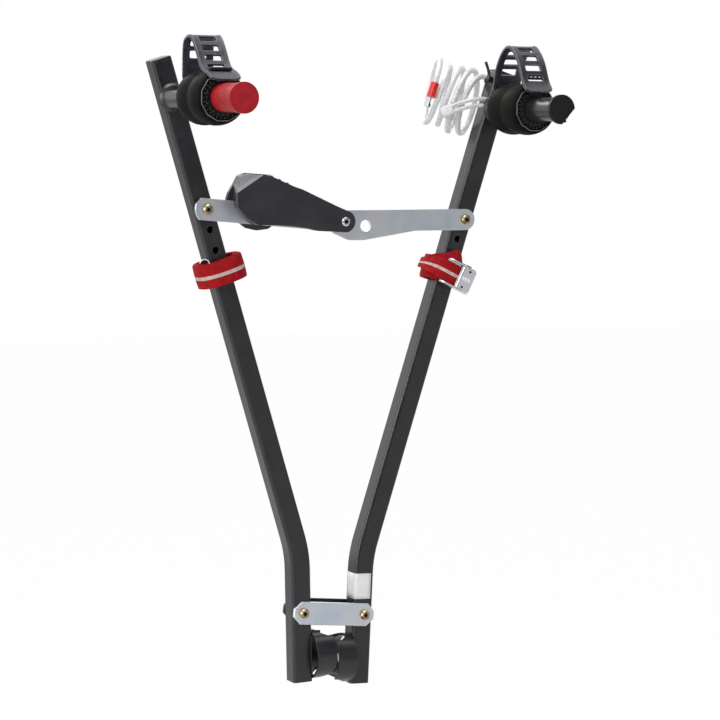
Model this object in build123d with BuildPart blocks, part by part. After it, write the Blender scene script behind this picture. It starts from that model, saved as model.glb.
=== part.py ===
from build123d import *
import math
import os

os.makedirs("parts", exist_ok=True)

# Tow ball clamp: two short tubes that close round a ball, origin at the ball's centre
ball_diameter = 50.0
ball_room = 1.5
cup_wall = 3.0
cup_mouth_gap = 2.8
neck_notch_diameter = 36.0
cup_drop = 54.0

# Uprights: square tube, each on its own pivot, leaning out and bent once
tube_size = 25.0
tube_corner = 4.0
tube_wall = 2.0
pivot_spacing = 81.0
pivot_height = 54.0
pivot_rise = 3.9
lower_lean = 1.9
bend_angle = 15.4
bend_radius = 150.0
bend_height = 71.0
foot_drop = 85.0
arm_top = 610.6
plug_head = 3.2
plug_crown = 2.5
plug_spigot = 14.0
plug_fit = 0.15

# Pivot plates and their bolts
plate_end = 12.7
plate_height = 27.5
plate_thickness = 4.0
plate_chamfer = 9.0
plate_bevel = 0.6
running_gap = 0.4
bolt_diameter = 8.0
bolt_fit = 0.1
turn_fit = 0.08
bolt_head_diameter = 12.0
bolt_head_height = 4.4
bolt_head_bevel = 1.5
socket_width = 5.0
socket_depth = 2.6
nut_width = 13.0
nut_height = 6.8
thread_end = 2.0
sleeve_wall = 2.0

# Over-centre toggle across the uprights
left_bolt_height = 432.5
right_bolt_height = 426.0
spare_hole_pitch = 25.0
spare_hole_count = 2
spare_hole_diameter = 8.4
link_thickness = 4.0
link_width = 25.5
link_layer_gap = 0.5
right_washer = 1.2
washer_diameter = 18.0
spacer_diameter = 14.0
side_play = 0.1
knee_x = 1.5
knee_z = 527.0
knee_rivet_diameter = 8.0
knee_head_diameter = 11.0
knee_head_height = 2.2
knee_socket_depth = 1.2
rivet_tail_diameter = 14.0
rivet_tail_height = 2.2
heel_radius = 24.0
padlock_diameter = 14.0
padlock_along = 33.0
padlock_drop = 6.0

# Rounded left end of the left link, as shares of half its width
link_nose_shares = [(-0.71, 1.0), (-1.10, 0.44), (-1.10, -0.30), (-0.64, -1.0)]

# Lever handle moulded over the left link, outline as shares of the link's pitch length
handle_depth = 24.8
handle_tip_depth = 13.2
handle_tip_radius = 12.8
handle_tip_land = 14.0
handle_channel_fit = 0.3
handle_corner = 3.0
handle_rear = 5.2
handle_rear_corner = 6.0
handle_rib_radius = 1.8
handle_screw_diameter = 5.0
handle_screw_head = 9.5
handle_screw_length = 14.0
handle_shares = [
    (0.158, 0.040),
    (0.147, 0.130),
    (0.178, 0.186),
    (0.205, 0.243),
    (0.262, 0.262),
    (0.390, 0.259),
    (0.444, 0.242),
    (0.565, 0.204),
    (0.628, 0.190),
    (1.022, 0.070),
    (1.000, -0.0737),
    (0.785, -0.079),
    (0.705, -0.067),
    (0.593, -0.062),
    (0.455, -0.064),
    (0.326, -0.074),
    (0.238, -0.037),
    (0.175, 0.020),
]
handle_rear_shares = [
    (0.141, 0.080),
    (0.150, 0.121),
    (0.180, 0.180),
    (0.209, 0.243),
    (0.259, 0.266),
    (0.446, 0.269),
    (0.494, -0.075),
    (0.459, -0.096),
    (0.381, -0.112),
    (0.301, -0.102),
    (0.249, -0.070),
]
handle_rib_shares = [(0.420, 0.254), (0.480, 0.236), (0.540, 0.217)]
handle_screw_shares = [0.560, 0.760]
handle_taper_share = 0.628
handle_step_share = 0.680
bevel_depth_share = 0.45
draft_depth_share = 0.15
top_bevel_shares = [(0.150, 0.136), (0.306, 0.252), (0.222, 0.254)]
left_draft_shares = [(0.149, 0.110), (0.158, 0.045), (0.190, 0.060)]
low_draft_shares = [(0.175, 0.020), (0.238, -0.037), (0.262, -0.028)]
edge_depth_share = 0.92
edge_bevel_shares = [
    [(0.158, 0.130), (0.316, 0.250), (0.229, 0.200)],
    [(0.155, 0.120), (0.163, 0.050), (0.150, 0.084)],
    [(0.182, 0.022), (0.244, -0.031), (0.207, -0.012)],
]

# Right link outline as shares of its pitch length, measured from the knee
heel_shares = [(0.592, -0.0759), (0.186, -0.137), (0.065, -0.137), (-0.059, -0.082)]

# Support arms and their ends
support_drop = 43.8
support_diameter = 28.0
support_wall = 2.0
left_support_end = 214.0
right_support_end = 168.0
weld_leg = 3.0
grip_length = 56.0
grip_wall = 2.0
grip_flare = 1.2
grip_face = 3.0
grip_flare_share = 0.33
grip_groove = 0.5
grip_groove_start = 17.0
grip_groove_pitch = 4.2
grip_groove_count = 5
cap_diameter = 34.5
cap_thickness = 4.0
cap_spigot = 18.0
cap_edge = 0.6
cap_bite_reach = 11.9
cap_bite_angle = -42.0
cap_tab = 3.0
cap_tab_turn = 30.0

# Rubber cradles that slide and turn on the support arms
cradle_length = 70.0
cradle_radius = 31.0
cradle_waist_radius = 27.0
cradle_face_radius = 28.5
collar_length = 4.0
collar_recess = 1.2
collar_rim = 2.2
collar_sides = 12
collar_radius = 26.6
left_cradle_back = 89.0
right_cradle_back = 41.0
core_wall = 3.0
core_flange = 2.2
core_flange_radius = 20.6
core_lip = 1.5
core_lip_length = 2.5
face_gap = 0.3
tooth_count = 20
tooth_ring_radius = 18.8
tooth_length = 2.6
tooth_width = 1.4
tooth_height = 1.4

# Ladder straps over the cradles, route as shares of cradle length and cradle radius
strap_width = 37.0
strap_thickness = 3.6
strap_seat_gap = 0.3
strap_bend = 8.0
strap_slot_width = 20.0
strap_slot_height = 7.6
strap_slot_pitch = 13.6
strap_slot_round = 2.5
strap_slot_count = 8
strap_tab_thickness = 5.2
strap_tab_round = 9.0
strap_stud_diameter = 5.0
strap_stud_head = 8.0
strap_stud_cap = 1.5
strap_stud_fit = 0.2
strap_stud_spread = 9.0
strap_stud_rise = 22.5
peg_width = 17.0
peg_thickness = 3.6
left_hook_distance = 19.9
right_hook_distance = 22.6
left_route_shares = [
    (-0.057, 0.60),
    (-0.057, 1.81),
    (0.043, 2.10),
    (0.257, 2.19),
    (0.429, 1.84),
    (0.630, 1.26),
    (0.745, 1.04),
    (1.150, 0.80),
]
right_route_shares = [
    (-0.030, 0.60),
    (-0.030, 0.95),
    (0.071, 1.61),
    (0.271, 2.19),
    (0.493, 2.38),
    (0.714, 2.02),
    (0.840, 1.64),
    (0.930, 1.20),
    (1.010, 0.88),
    (1.150, 0.62),
]
left_peg_shares = [(0.838, 0.64), (0.900, 1.184)]
right_peg_shares = [(0.800, 0.90), (1.030, 1.36)]

# Red webbing wound round the uprights, and its cam buckle
webbing_width = 30.0
left_webbing_drop = 75.5
right_webbing_drop = 66.0
webbing_gap = 0.4
webbing_outer_width = 66.0
webbing_front = 28.0
webbing_back = 20.0
webbing_inner_width = 46.0
webbing_round = 18.0
webbing_inner_round = 5.0
webbing_sheet = 1.5
tail_width = 25.0
tail_start = 30.0
tail_root = 7.0
tail_end = 9.0
buckle_angle = 26.0
buckle_length = 39.0
buckle_width = 28.0
buckle_sheet = 1.5
buckle_flange = 9.0
buckle_out = 3.0
buckle_drop = 5.0
buckle_corner = 3.0
pin_diameter = 3.0
pin_share = 0.06
pin_end = 1.0
cam_drum = 2.8
cam_sheet = 1.4
cam_side_gap = 0.6
cam_lift = 0.4
cam_end_gap = 0.8
cam_tooth = 0.7
cam_tooth_count = 4
cam_tooth_arc = 80.0
cam_tooth_start = 95.0

# Steel lock cable: loose coil that fans out, with a red end sleeve and a short lanyard
cable_diameter = 7.1
coil_radius = 38.3
coil_swell_share = 0.06
coil_swells = 1.5
coil_pitch = 14.6
coil_turns = 4.46
coil_biarcs = 20
coil_tilt = 17.0
coil_yaw = 26.2
coil_fan_start = -8.0
coil_fan_end = 24.0
coil_x = 185.5
coil_y = 50.0
coil_z = 675.0
coil_start_angle = 76.0
coil_turn_step = 0.001
cable_ferrule_diameter = 9.8
cable_ferrule_length = 14.0
end_sleeve_diameter = 11.0
end_sleeve_length = 18.0
clasp_diameter = 6.4
clasp_neck_diameter = 3.6
clasp_length = 13.0
clasp_share = 0.3
lanyard_diameter = 5.0
lanyard_bend = 15.0
lanyard_angle = 41.0
lanyard_length = 42.0
lanyard_y = -4.5
lanyard_reach = 9.0
lanyard_hole_fit = 0.25
lanyard_hole_heights = [576.5, 568.0]
clip_wall = 1.4
clip_length = 14.0
clip_ring_length = 7.0
clip_ring_wall = 1.8
clip_ring_fit = 0.3
clip_neck = 5.0
clip_turns = 2.87

# Cable tie round the top of the right upright
tie_drop = 11.6
tie_width = 4.8
tie_sheet = 1.3
tie_gap = 0.1
tie_head = 7.0
tie_head_depth = 5.5
tie_head_forward = 8.5
tie_tail_sheet = 1.4
tie_tail_shares = [(0.0, 0.0), (-0.35, 1.7), (-0.86, 3.0)]

cut_extra = 60.0

sides = {"left": -1, "right": 1}
half_tube = tube_size / 2
tube_inner = tube_size - 2 * tube_wall
upper_lean = lower_lean + bend_angle
bolt_heights = {"left": left_bolt_height, "right": right_bolt_height}
support_height = arm_top - support_drop
support_ends = {"left": left_support_end, "right": right_support_end}
cradle_backs = {"left": left_cradle_back, "right": right_cradle_back}
webbing_heights = {
    "left": left_bolt_height - left_webbing_drop,
    "right": right_bolt_height - right_webbing_drop,
}


def lean_axis(side, lean):
    angle = math.radians(lean)
    return Vector(side * math.sin(angle), 0, math.cos(angle))


def inward_axis(side, lean):
    angle = math.radians(lean)
    return Vector(-side * math.cos(angle), 0, math.sin(angle))


def pivot_point(side):
    return Vector(side * pivot_spacing / 2, 0, pivot_height - side * pivot_rise)


def lower_point(side, height):
    return pivot_point(side) + lean_axis(side, lower_lean) * height


def upper_point(side, height):
    return lower_point(side, bend_height) + lean_axis(side, upper_lean) * height


def front_plane(point, y, along=Vector(1, 0, 0)):
    return Plane(origin=(point.X, y, point.Z), x_dir=along, z_dir=(0, -1, 0))


def save(piece, name):
    piece.part.label = name
    export_step(piece.part, f"parts/{name}.step")


pivots = [pivot_point(side) for side in sides.values()]
pivot_mid = (pivots[0] + pivots[1]) / 2
pivot_line = (pivots[1] - pivots[0]).normalized()
pivot_distance = (pivots[1] - pivots[0]).length
sleeve_radius = bolt_diameter / 2 + bolt_fit + sleeve_wall
link_bolts = {name: upper_point(side, bolt_heights[name]) for name, side in sides.items()}
knee = Vector(knee_x, 0, knee_z)

# Depths of the layers in front of the uprights, all along -Y
front_face = -half_tube
right_link_back = front_face - right_washer
right_link_front = right_link_back - link_thickness
left_link_back = right_link_front - link_layer_gap
left_link_front = left_link_back - link_thickness

# Centres of the two lanyard holes on the inner face of the right upright
right_inward = inward_axis(1, upper_lean)
lanyard_shift = Vector(0, lanyard_y, 0)
lanyard_holes = [
    upper_point(1, height) + right_inward * half_tube + lanyard_shift
    for height in lanyard_hole_heights
]

# Uprights with their pivot hole, link bolt hole and spare holes
for name, side in sides.items():
    foot = lower_point(side, -foot_drop)
    head = upper_point(side, arm_top)
    with BuildPart() as upright:
        with BuildLine():
            FilletPolyline(foot, lower_point(side, bend_height), head, radius=bend_radius)
        with BuildSketch(Plane(origin=foot, x_dir=(0, 1, 0), z_dir=lean_axis(side, lower_lean))):
            RectangleRounded(tube_size, tube_size, tube_corner)
            RectangleRounded(tube_inner, tube_inner, tube_corner - tube_wall, mode=Mode.SUBTRACT)
        sweep()
        pivot = pivot_point(side)
        with BuildSketch(Plane.XZ):
            with Locations((pivot.X, pivot.Z)):
                Circle(sleeve_radius + turn_fit)
            for step in range(spare_hole_count + 1):
                hole = upper_point(side, bolt_heights[name] - step * spare_hole_pitch)
                with Locations((hole.X, hole.Z)):
                    Circle(spare_hole_diameter / 2)
        extrude(amount=tube_size, both=True, mode=Mode.SUBTRACT)
        if name == "right":
            for spot in lanyard_holes:
                with BuildSketch(Plane(origin=spot, z_dir=inward_axis(side, upper_lean))):
                    Circle(lanyard_diameter / 2 + lanyard_hole_fit)
                extrude(amount=half_tube, both=True, mode=Mode.SUBTRACT)
    save(upright, f"{name}_upright")

# Domed plastic plugs in the top ends
for name, side in sides.items():
    head = upper_point(side, arm_top)
    up = lean_axis(side, upper_lean)
    seat = Plane(origin=head, x_dir=(0, 1, 0), z_dir=up)
    with BuildPart() as plug:
        with BuildSketch(seat):
            RectangleRounded(tube_size, tube_size, tube_corner)
        extrude(amount=plug_head)
        crown = plug.faces().sort_by(Axis(head, up))[-1]
        fillet(crown.edges(), plug_crown)
        with BuildSketch(seat):
            spigot = tube_inner - 2 * plug_fit
            RectangleRounded(spigot, spigot, tube_corner - tube_wall)
            wall = spigot - 2 * tube_wall
            RectangleRounded(wall, wall, tube_corner - tube_wall, mode=Mode.SUBTRACT)
        extrude(amount=-plug_spigot)
    save(plug, f"{name}_top_plug")

# Round support arms welded to the front of the uprights
for name, side in sides.items():
    root = upper_point(side, support_height)
    base = front_plane(root, front_face)
    reach = support_ends[name] - half_tube
    with BuildPart() as arm:
        with BuildSketch(base):
            Circle(support_diameter / 2)
            Circle(support_diameter / 2 - support_wall, mode=Mode.SUBTRACT)
        extrude(amount=reach)
        with BuildSketch(Plane(origin=base.origin, x_dir=(1, 0, 0), z_dir=(0, 0, 1))):
            with BuildLine():
                Polyline(
                    (support_diameter / 2, 0),
                    (support_diameter / 2 + weld_leg, 0),
                    (support_diameter / 2, -weld_leg),
                    close=True,
                )
            make_face()
        revolve(axis=Axis(base.origin, (0, -1, 0)))
    save(arm, f"{name}_support_arm")

# Ball cups: short tubes square to the lower arms, notched for the ball's neck
cup_outer = ball_diameter / 2 + ball_room + cup_wall
cup_length = pivot_spacing / 2 - cup_drop * math.sin(math.radians(lower_lean)) - half_tube
cup_length -= cup_mouth_gap / 2
for name, side in sides.items():
    inward = inward_axis(side, lower_lean)
    centre = lower_point(side, -cup_drop)
    start = centre + inward * half_tube
    mouth = start + inward * cup_length
    with BuildPart() as cup:
        with BuildSketch(Plane(origin=start, x_dir=(0, 1, 0), z_dir=inward)):
            Circle(cup_outer)
            Circle(cup_outer - cup_wall, mode=Mode.SUBTRACT)
        extrude(amount=cup_length)
        with BuildSketch(Plane(origin=mouth, x_dir=(0, 1, 0), z_dir=lean_axis(side, lower_lean))):
            Circle(neck_notch_diameter / 2)
        extrude(amount=cut_extra, both=True, mode=Mode.SUBTRACT)
    save(cup, f"{name}_ball_cup")

# Pivot plates in front of and behind the uprights
for name, facing in {"front": -1, "back": 1}.items():
    plate_face = facing * (half_tube + running_gap)
    with BuildPart() as plate:
        with BuildSketch(front_plane(pivot_mid, plate_face, pivot_line)):
            Rectangle(pivot_spacing + 2 * plate_end, plate_height)
            chamfer(vertices(), plate_chamfer)
            with GridLocations(pivot_distance, 0, 2, 1):
                Circle(bolt_diameter / 2 + bolt_fit, mode=Mode.SUBTRACT)
        extrude(amount=-facing * plate_thickness)
        outer = plate.faces().sort_by(Axis.Y)[0 if facing < 0 else -1]
        chamfer(outer.outer_wire().edges(), plate_bevel)
    save(plate, f"{name}_pivot_plate")

# Sleeves the uprights turn on, clamped between the plates
with BuildPart() as pivot_sleeves:
    for pivot in pivots:
        with BuildSketch(Plane(origin=pivot, x_dir=(1, 0, 0), z_dir=(0, -1, 0))):
            Circle(sleeve_radius)
            Circle(bolt_diameter / 2 + bolt_fit, mode=Mode.SUBTRACT)
        extrude(amount=half_tube + running_gap, both=True)
save(pivot_sleeves, "pivot_sleeves")


def half_plane(point, y):
    # Half section plane: x runs out from the axis, y runs forward
    return Plane(origin=(point.X, y, point.Z), x_dir=(1, 0, 0), z_dir=(0, 0, -1))


def forward_axis(point):
    return Axis((point.X, 0, point.Z), (0, -1, 0))


def bolt_profile(grip):
    shank = bolt_diameter / 2
    head = bolt_head_diameter / 2
    tail = -grip - nut_height - thread_end
    floor = bolt_head_height - socket_depth
    Polyline(
        (0, tail),
        (shank, tail),
        (shank, 0),
        (head, 0),
        (head, bolt_head_height / 2),
        (head - bolt_head_bevel, bolt_head_height),
        (0, bolt_head_height),
        close=True,
    )
    return floor


# Pivot bolts and nuts
pivot_seat = -half_tube - running_gap - plate_thickness
pivot_grip = -2 * pivot_seat
with BuildPart() as pivot_bolts:
    for pivot in pivots:
        with BuildSketch(half_plane(pivot, pivot_seat)):
            with BuildLine():
                floor = bolt_profile(pivot_grip)
            make_face()
        revolve(axis=forward_axis(pivot))
        with BuildSketch(front_plane(pivot, pivot_seat - floor)):
            RegularPolygon(socket_width / 2, 6, major_radius=False)
        extrude(amount=bolt_head_height, mode=Mode.SUBTRACT)
save(pivot_bolts, "pivot_bolts")

with BuildPart() as pivot_nuts:
    for pivot in pivots:
        with BuildSketch(front_plane(pivot, pivot_seat + pivot_grip + nut_height)):
            RegularPolygon(nut_width / 2, 6, major_radius=False)
            Circle(bolt_diameter / 2, mode=Mode.SUBTRACT)
        extrude(amount=nut_height)
save(pivot_nuts, "pivot_nuts")

# Link bolts with their nuts, the left one on a spacer and the right one on a washer
link_backs = {"left": left_link_back, "right": right_link_back}
ring_diameters = {"left": spacer_diameter, "right": washer_diameter}
ring_names = {"left": "left_link_spacer", "right": "right_link_washer"}
for name in sides:
    spot = link_bolts[name]
    seat = link_backs[name] - link_thickness - side_play
    with BuildPart() as bolt:
        with BuildSketch(half_plane(spot, seat)):
            with BuildLine():
                floor = bolt_profile(half_tube - seat)
            make_face()
        revolve(axis=forward_axis(spot))
        with BuildSketch(front_plane(spot, seat - floor)):
            RegularPolygon(socket_width / 2, 6, major_radius=False)
        extrude(amount=bolt_head_height, mode=Mode.SUBTRACT)
    save(bolt, f"{name}_link_bolt")
    with BuildPart() as nut:
        with BuildSketch(front_plane(spot, half_tube + nut_height)):
            RegularPolygon(nut_width / 2, 6, major_radius=False)
            Circle(bolt_diameter / 2, mode=Mode.SUBTRACT)
        extrude(amount=nut_height)
    save(nut, f"{name}_link_nut")
    with BuildPart() as ring:
        with BuildSketch(front_plane(spot, front_face)):
            Circle(ring_diameters[name] / 2)
            Circle(bolt_diameter / 2 + bolt_fit, mode=Mode.SUBTRACT)
        extrude(amount=front_face - link_backs[name] - side_play)
    save(ring, ring_names[name])

# Left link: flat bar from the left bolt to the knee
left_pitch = knee - link_bolts["left"]
left_length = left_pitch.length
left_along = left_pitch.normalized()
left_frame = front_plane(link_bolts["left"], left_link_back, left_along)
screw_spots = [(share * left_length, 0) for share in handle_screw_shares]
link_half = link_width / 2
nose = [Vector(x * link_half, y * link_half) for x, y in link_nose_shares]
with BuildPart() as left_link:
    with BuildSketch(left_frame):
        with BuildLine():
            Line((left_length, -link_half), (left_length, link_half))
            Polyline((left_length, link_half), nose[0], nose[1])
            ThreePointArc(*nose[1:])
            Line(nose[3], (left_length, -link_half))
        make_face()
        with Locations((left_length, 0)):
            Circle(link_width / 2)
            Circle(knee_rivet_diameter / 2, mode=Mode.SUBTRACT)
        with Locations((0, 0)):
            Circle(bolt_diameter / 2 + turn_fit, mode=Mode.SUBTRACT)
        with Locations(screw_spots):
            Circle(handle_screw_diameter / 2 + bolt_fit, mode=Mode.SUBTRACT)
    extrude(amount=link_thickness)
    with BuildSketch(left_frame):
        with Locations(screw_spots):
            Circle(handle_screw_head / 2 + bolt_fit)
    extrude(amount=link_thickness / 2, mode=Mode.SUBTRACT)
save(left_link, "left_link")

# Right link: flat bar from the knee to the right bolt, with a deep heel and a padlock hole
right_pitch = link_bolts["right"] - knee
right_length = right_pitch.length
right_along = right_pitch.normalized()
heel = [Vector(x * right_length, y * right_length) for x, y in heel_shares]
with BuildPart() as right_link:
    with BuildSketch(front_plane(knee, right_link_back, right_along)):
        with BuildLine():
            Polyline(
                (0, link_width / 2),
                (right_length, link_width / 2),
                (right_length, -link_width / 2),
                *heel,
                (heel[-1].X, 0),
                close=True,
            )
        make_face()
        fillet(vertices().sort_by_distance(heel[1])[0], heel_radius)
        fillet(vertices().sort_by_distance(heel[2])[0], heel_radius)
        Circle(link_width / 2)
        with Locations((right_length, 0)):
            Circle(link_width / 2)
            Circle(bolt_diameter / 2 + turn_fit, mode=Mode.SUBTRACT)
        Circle(knee_rivet_diameter / 2, mode=Mode.SUBTRACT)
        with Locations((padlock_along, -padlock_drop)):
            Circle(padlock_diameter / 2, mode=Mode.SUBTRACT)
    extrude(amount=link_thickness)
save(right_link, "right_link")

# Lever handle: one moulding round the left link, bevelled in front, thinner towards the knee
handle_front = left_link_back - handle_depth
tip_front = left_link_back - handle_tip_depth


def handle_point(share, depth):
    spot = left_frame.from_local_coords(Vector(share[0] * left_length, share[1] * left_length))
    return Vector(spot.X, left_link_back - depth, spot.Z)


def slope_plane(shares, depth_share):
    # Plane through two points of the front face and one deeper, facing the handle's middle
    first = handle_point(shares[0], handle_depth)
    second = handle_point(shares[1], handle_depth)
    third = handle_point(shares[2], handle_depth * depth_share)
    normal = (second - first).cross(third - first)
    if normal.dot(left_link_mid - first) < 0:
        normal = normal * -1
    return Plane(origin=first, z_dir=normal)


left_link_mid = handle_point((handle_taper_share, 0), 0)
handle_outline = [(x * left_length, y * left_length) for x, y in handle_shares]
rear_outline = [(x * left_length, y * left_length) for x, y in handle_rear_shares]
taper_start = handle_taper_share * left_length
taper_end = left_length - handle_tip_land
taper_drop = handle_depth - handle_tip_depth
channel = link_width + 2 * handle_channel_fit
with BuildPart() as handle:
    with BuildSketch(left_frame):
        with BuildLine():
            Polyline(*handle_outline, close=True)
        make_face()
        fillet(vertices().group_by(Axis.X)[0:5], handle_corner)
        with Locations((left_length, 0)):
            Circle(handle_tip_radius)
    extrude(amount=handle_depth)
    with BuildSketch(
        Plane(origin=(knee.X, handle_front, knee.Z), x_dir=left_along, z_dir=left_frame.y_dir)
    ):
        with BuildLine():
            Polyline(
                (taper_start - left_length, 0),
                (-handle_tip_land, taper_drop),
                (cut_extra, taper_drop),
                (cut_extra, -cut_extra),
                (taper_start - left_length, -cut_extra),
                close=True,
            )
        make_face()
    extrude(amount=cut_extra, both=True, mode=Mode.SUBTRACT)
    split(bisect_by=slope_plane(top_bevel_shares, bevel_depth_share), keep=Keep.TOP)
    split(bisect_by=slope_plane(left_draft_shares, draft_depth_share), keep=Keep.TOP)
    split(bisect_by=slope_plane(low_draft_shares, draft_depth_share), keep=Keep.TOP)
    for shares in edge_bevel_shares:
        split(bisect_by=slope_plane(shares, edge_depth_share), keep=Keep.TOP)
    with BuildSketch(left_frame.offset(-handle_rear)):
        with BuildLine():
            Polyline(*rear_outline, close=True)
        make_face()
        fillet(vertices().group_by(Axis.Y)[0:4], handle_rear_corner)
    extrude(amount=handle_rear)
    with BuildSketch(left_frame):
        with Locations([(x * left_length, y * left_length) for x, y in handle_rib_shares]):
            Circle(handle_rib_radius)
    extrude(amount=handle_depth * (1 - bevel_depth_share))
    with BuildSketch(left_frame.offset(-handle_channel_fit)):
        with Locations((left_length / 2, channel / 2 - cut_extra)):
            Rectangle(left_length + cut_extra, 2 * cut_extra)
        with Locations((handle_step_share * left_length + cut_extra, 0)):
            Rectangle(2 * cut_extra, 2 * cut_extra)
    extrude(amount=link_thickness + 2 * handle_channel_fit, mode=Mode.SUBTRACT)
    with BuildSketch(left_frame):
        with Locations(screw_spots):
            Circle(handle_screw_diameter / 2)
    extrude(amount=handle_screw_length, mode=Mode.SUBTRACT)
    with BuildSketch(left_frame):
        with Locations((left_length, 0)):
            Circle(knee_rivet_diameter / 2)
    extrude(amount=handle_depth, mode=Mode.SUBTRACT)
save(handle, "lever_handle")

# Countersunk screws that hold the handle on the link
with BuildPart() as handle_screws:
    for along, _ in screw_spots:
        spot = left_frame.from_local_coords(Vector(along, 0))
        with BuildSketch(half_plane(spot, left_link_back)):
            with BuildLine():
                Polyline(
                    (0, 0),
                    (handle_screw_head / 2, 0),
                    (handle_screw_diameter / 2, link_thickness / 2),
                    (handle_screw_diameter / 2, handle_screw_length),
                    (0, handle_screw_length),
                    close=True,
                )
            make_face()
        revolve(axis=forward_axis(spot))
save(handle_screws, "handle_screws")

# Knee rivet in two halves, one with each link
with BuildPart() as knee_front:
    with BuildSketch(half_plane(knee, tip_front)):
        with BuildLine():
            Polyline(
                (0, tip_front - left_link_back - link_layer_gap / 2),
                (knee_rivet_diameter / 2, tip_front - left_link_back - link_layer_gap / 2),
                (knee_rivet_diameter / 2, 0),
                (knee_head_diameter / 2, 0),
                (knee_head_diameter / 2, knee_head_height / 2),
                (knee_rivet_diameter / 2, knee_head_height),
                (socket_width / 2, knee_head_height),
                (socket_width / 2, knee_head_height - knee_socket_depth),
                (0, knee_head_height - knee_socket_depth),
                close=True,
            )
        make_face()
    revolve(axis=forward_axis(knee))
save(knee_front, "knee_rivet_front")

with BuildPart() as knee_back:
    with BuildSketch(front_plane(knee, right_link_back + rivet_tail_height)):
        Circle(rivet_tail_diameter / 2)
    extrude(amount=rivet_tail_height)
    with BuildSketch(front_plane(knee, right_link_back)):
        Circle(knee_rivet_diameter / 2)
    extrude(amount=link_thickness)
save(knee_back, "knee_rivet_back")

# Ribbed grip on the left support arm, plug with a flat on the right one
left_root = upper_point(-1, support_height)
right_root = upper_point(1, support_height)
arm_roots = {"left": left_root, "right": right_root}
arm_radius = support_diameter / 2
grip_radius = arm_radius + grip_wall
with BuildPart() as grip:
    with BuildSketch(half_plane(left_root, -left_support_end)):
        with BuildLine():
            Polyline(
                (arm_radius, grip_face - grip_length),
                (grip_radius, grip_face - grip_length),
                (grip_radius, -grip_length * grip_flare_share),
                (grip_radius + grip_flare, 0),
                (grip_radius + grip_flare, grip_face),
                (0, grip_face),
                (0, 0),
                (arm_radius, 0),
                close=True,
            )
        make_face()
    revolve(axis=forward_axis(left_root))
    with BuildSketch(half_plane(left_root, -left_support_end)):
        for step in range(grip_groove_count):
            with Locations((grip_radius, -grip_groove_start - step * grip_groove_pitch)):
                Rectangle(2 * grip_groove, grip_groove)
    revolve(axis=forward_axis(left_root), mode=Mode.SUBTRACT)
save(grip, "left_grip")

with BuildPart() as end_cap:
    with BuildSketch(front_plane(right_root, -right_support_end)):
        Circle(cap_diameter / 2)
        with Locations(Rotation(0, 0, cap_bite_angle) * Location((cap_bite_reach + cut_extra / 2, 0))):
            Rectangle(cut_extra, cut_extra, mode=Mode.SUBTRACT)
        with PolarLocations(cap_diameter / 2 - cap_tab, 1, cap_bite_angle - cap_tab_turn):
            Rectangle(cap_tab, cap_tab)
    extrude(amount=cap_thickness)
    with BuildSketch(front_plane(right_root, -right_support_end)):
        Circle(arm_radius - support_wall - plug_fit)
        Circle(arm_radius - 2 * support_wall - plug_fit, mode=Mode.SUBTRACT)
    extrude(amount=-cap_spigot)
save(end_cap, "right_end_cap")

# Cores that slide on the support arms, with a toothed flange in front
core_inner = arm_radius + turn_fit
core_outer = core_inner + core_wall
flange_back = cradle_length - collar_recess - core_flange
for name in sides:
    root = arm_roots[name]
    back = -cradle_backs[name]
    with BuildPart() as core:
        with BuildSketch(half_plane(root, back)):
            with BuildLine():
                Polyline(
                    (core_inner, face_gap),
                    (core_outer + core_lip, face_gap),
                    (core_outer + core_lip, face_gap + core_lip_length),
                    (core_outer, face_gap + core_lip_length),
                    (core_outer, flange_back),
                    (core_flange_radius, flange_back),
                    (core_flange_radius, flange_back + core_flange),
                    (core_inner, flange_back + core_flange),
                    close=True,
                )
            make_face()
        revolve(axis=forward_axis(root))
        with BuildSketch(front_plane(root, back - flange_back - core_flange)):
            with PolarLocations(tooth_ring_radius, tooth_count):
                Rectangle(tooth_length, tooth_width)
        extrude(amount=tooth_height)
    save(core, f"{name}_cradle_core")

# Ladder straps, each one moulding with slots along its route
routes = {"left": left_route_shares, "right": right_route_shares}
pegs = {"left": left_peg_shares, "right": right_peg_shares}
hook_distances = {"left": left_hook_distance, "right": right_hook_distance}


def side_plane(root, y):
    # Side section plane: x runs forward, y runs up
    return Plane(origin=(root.X, y, root.Z), x_dir=(0, -1, 0), z_dir=(-1, 0, 0))


def scaled(shares):
    return [(x * cradle_length, y * cradle_radius) for x, y in shares]


def strap_line(name):
    FilletPolyline(*scaled(routes[name]), radius=strap_bend)


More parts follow.
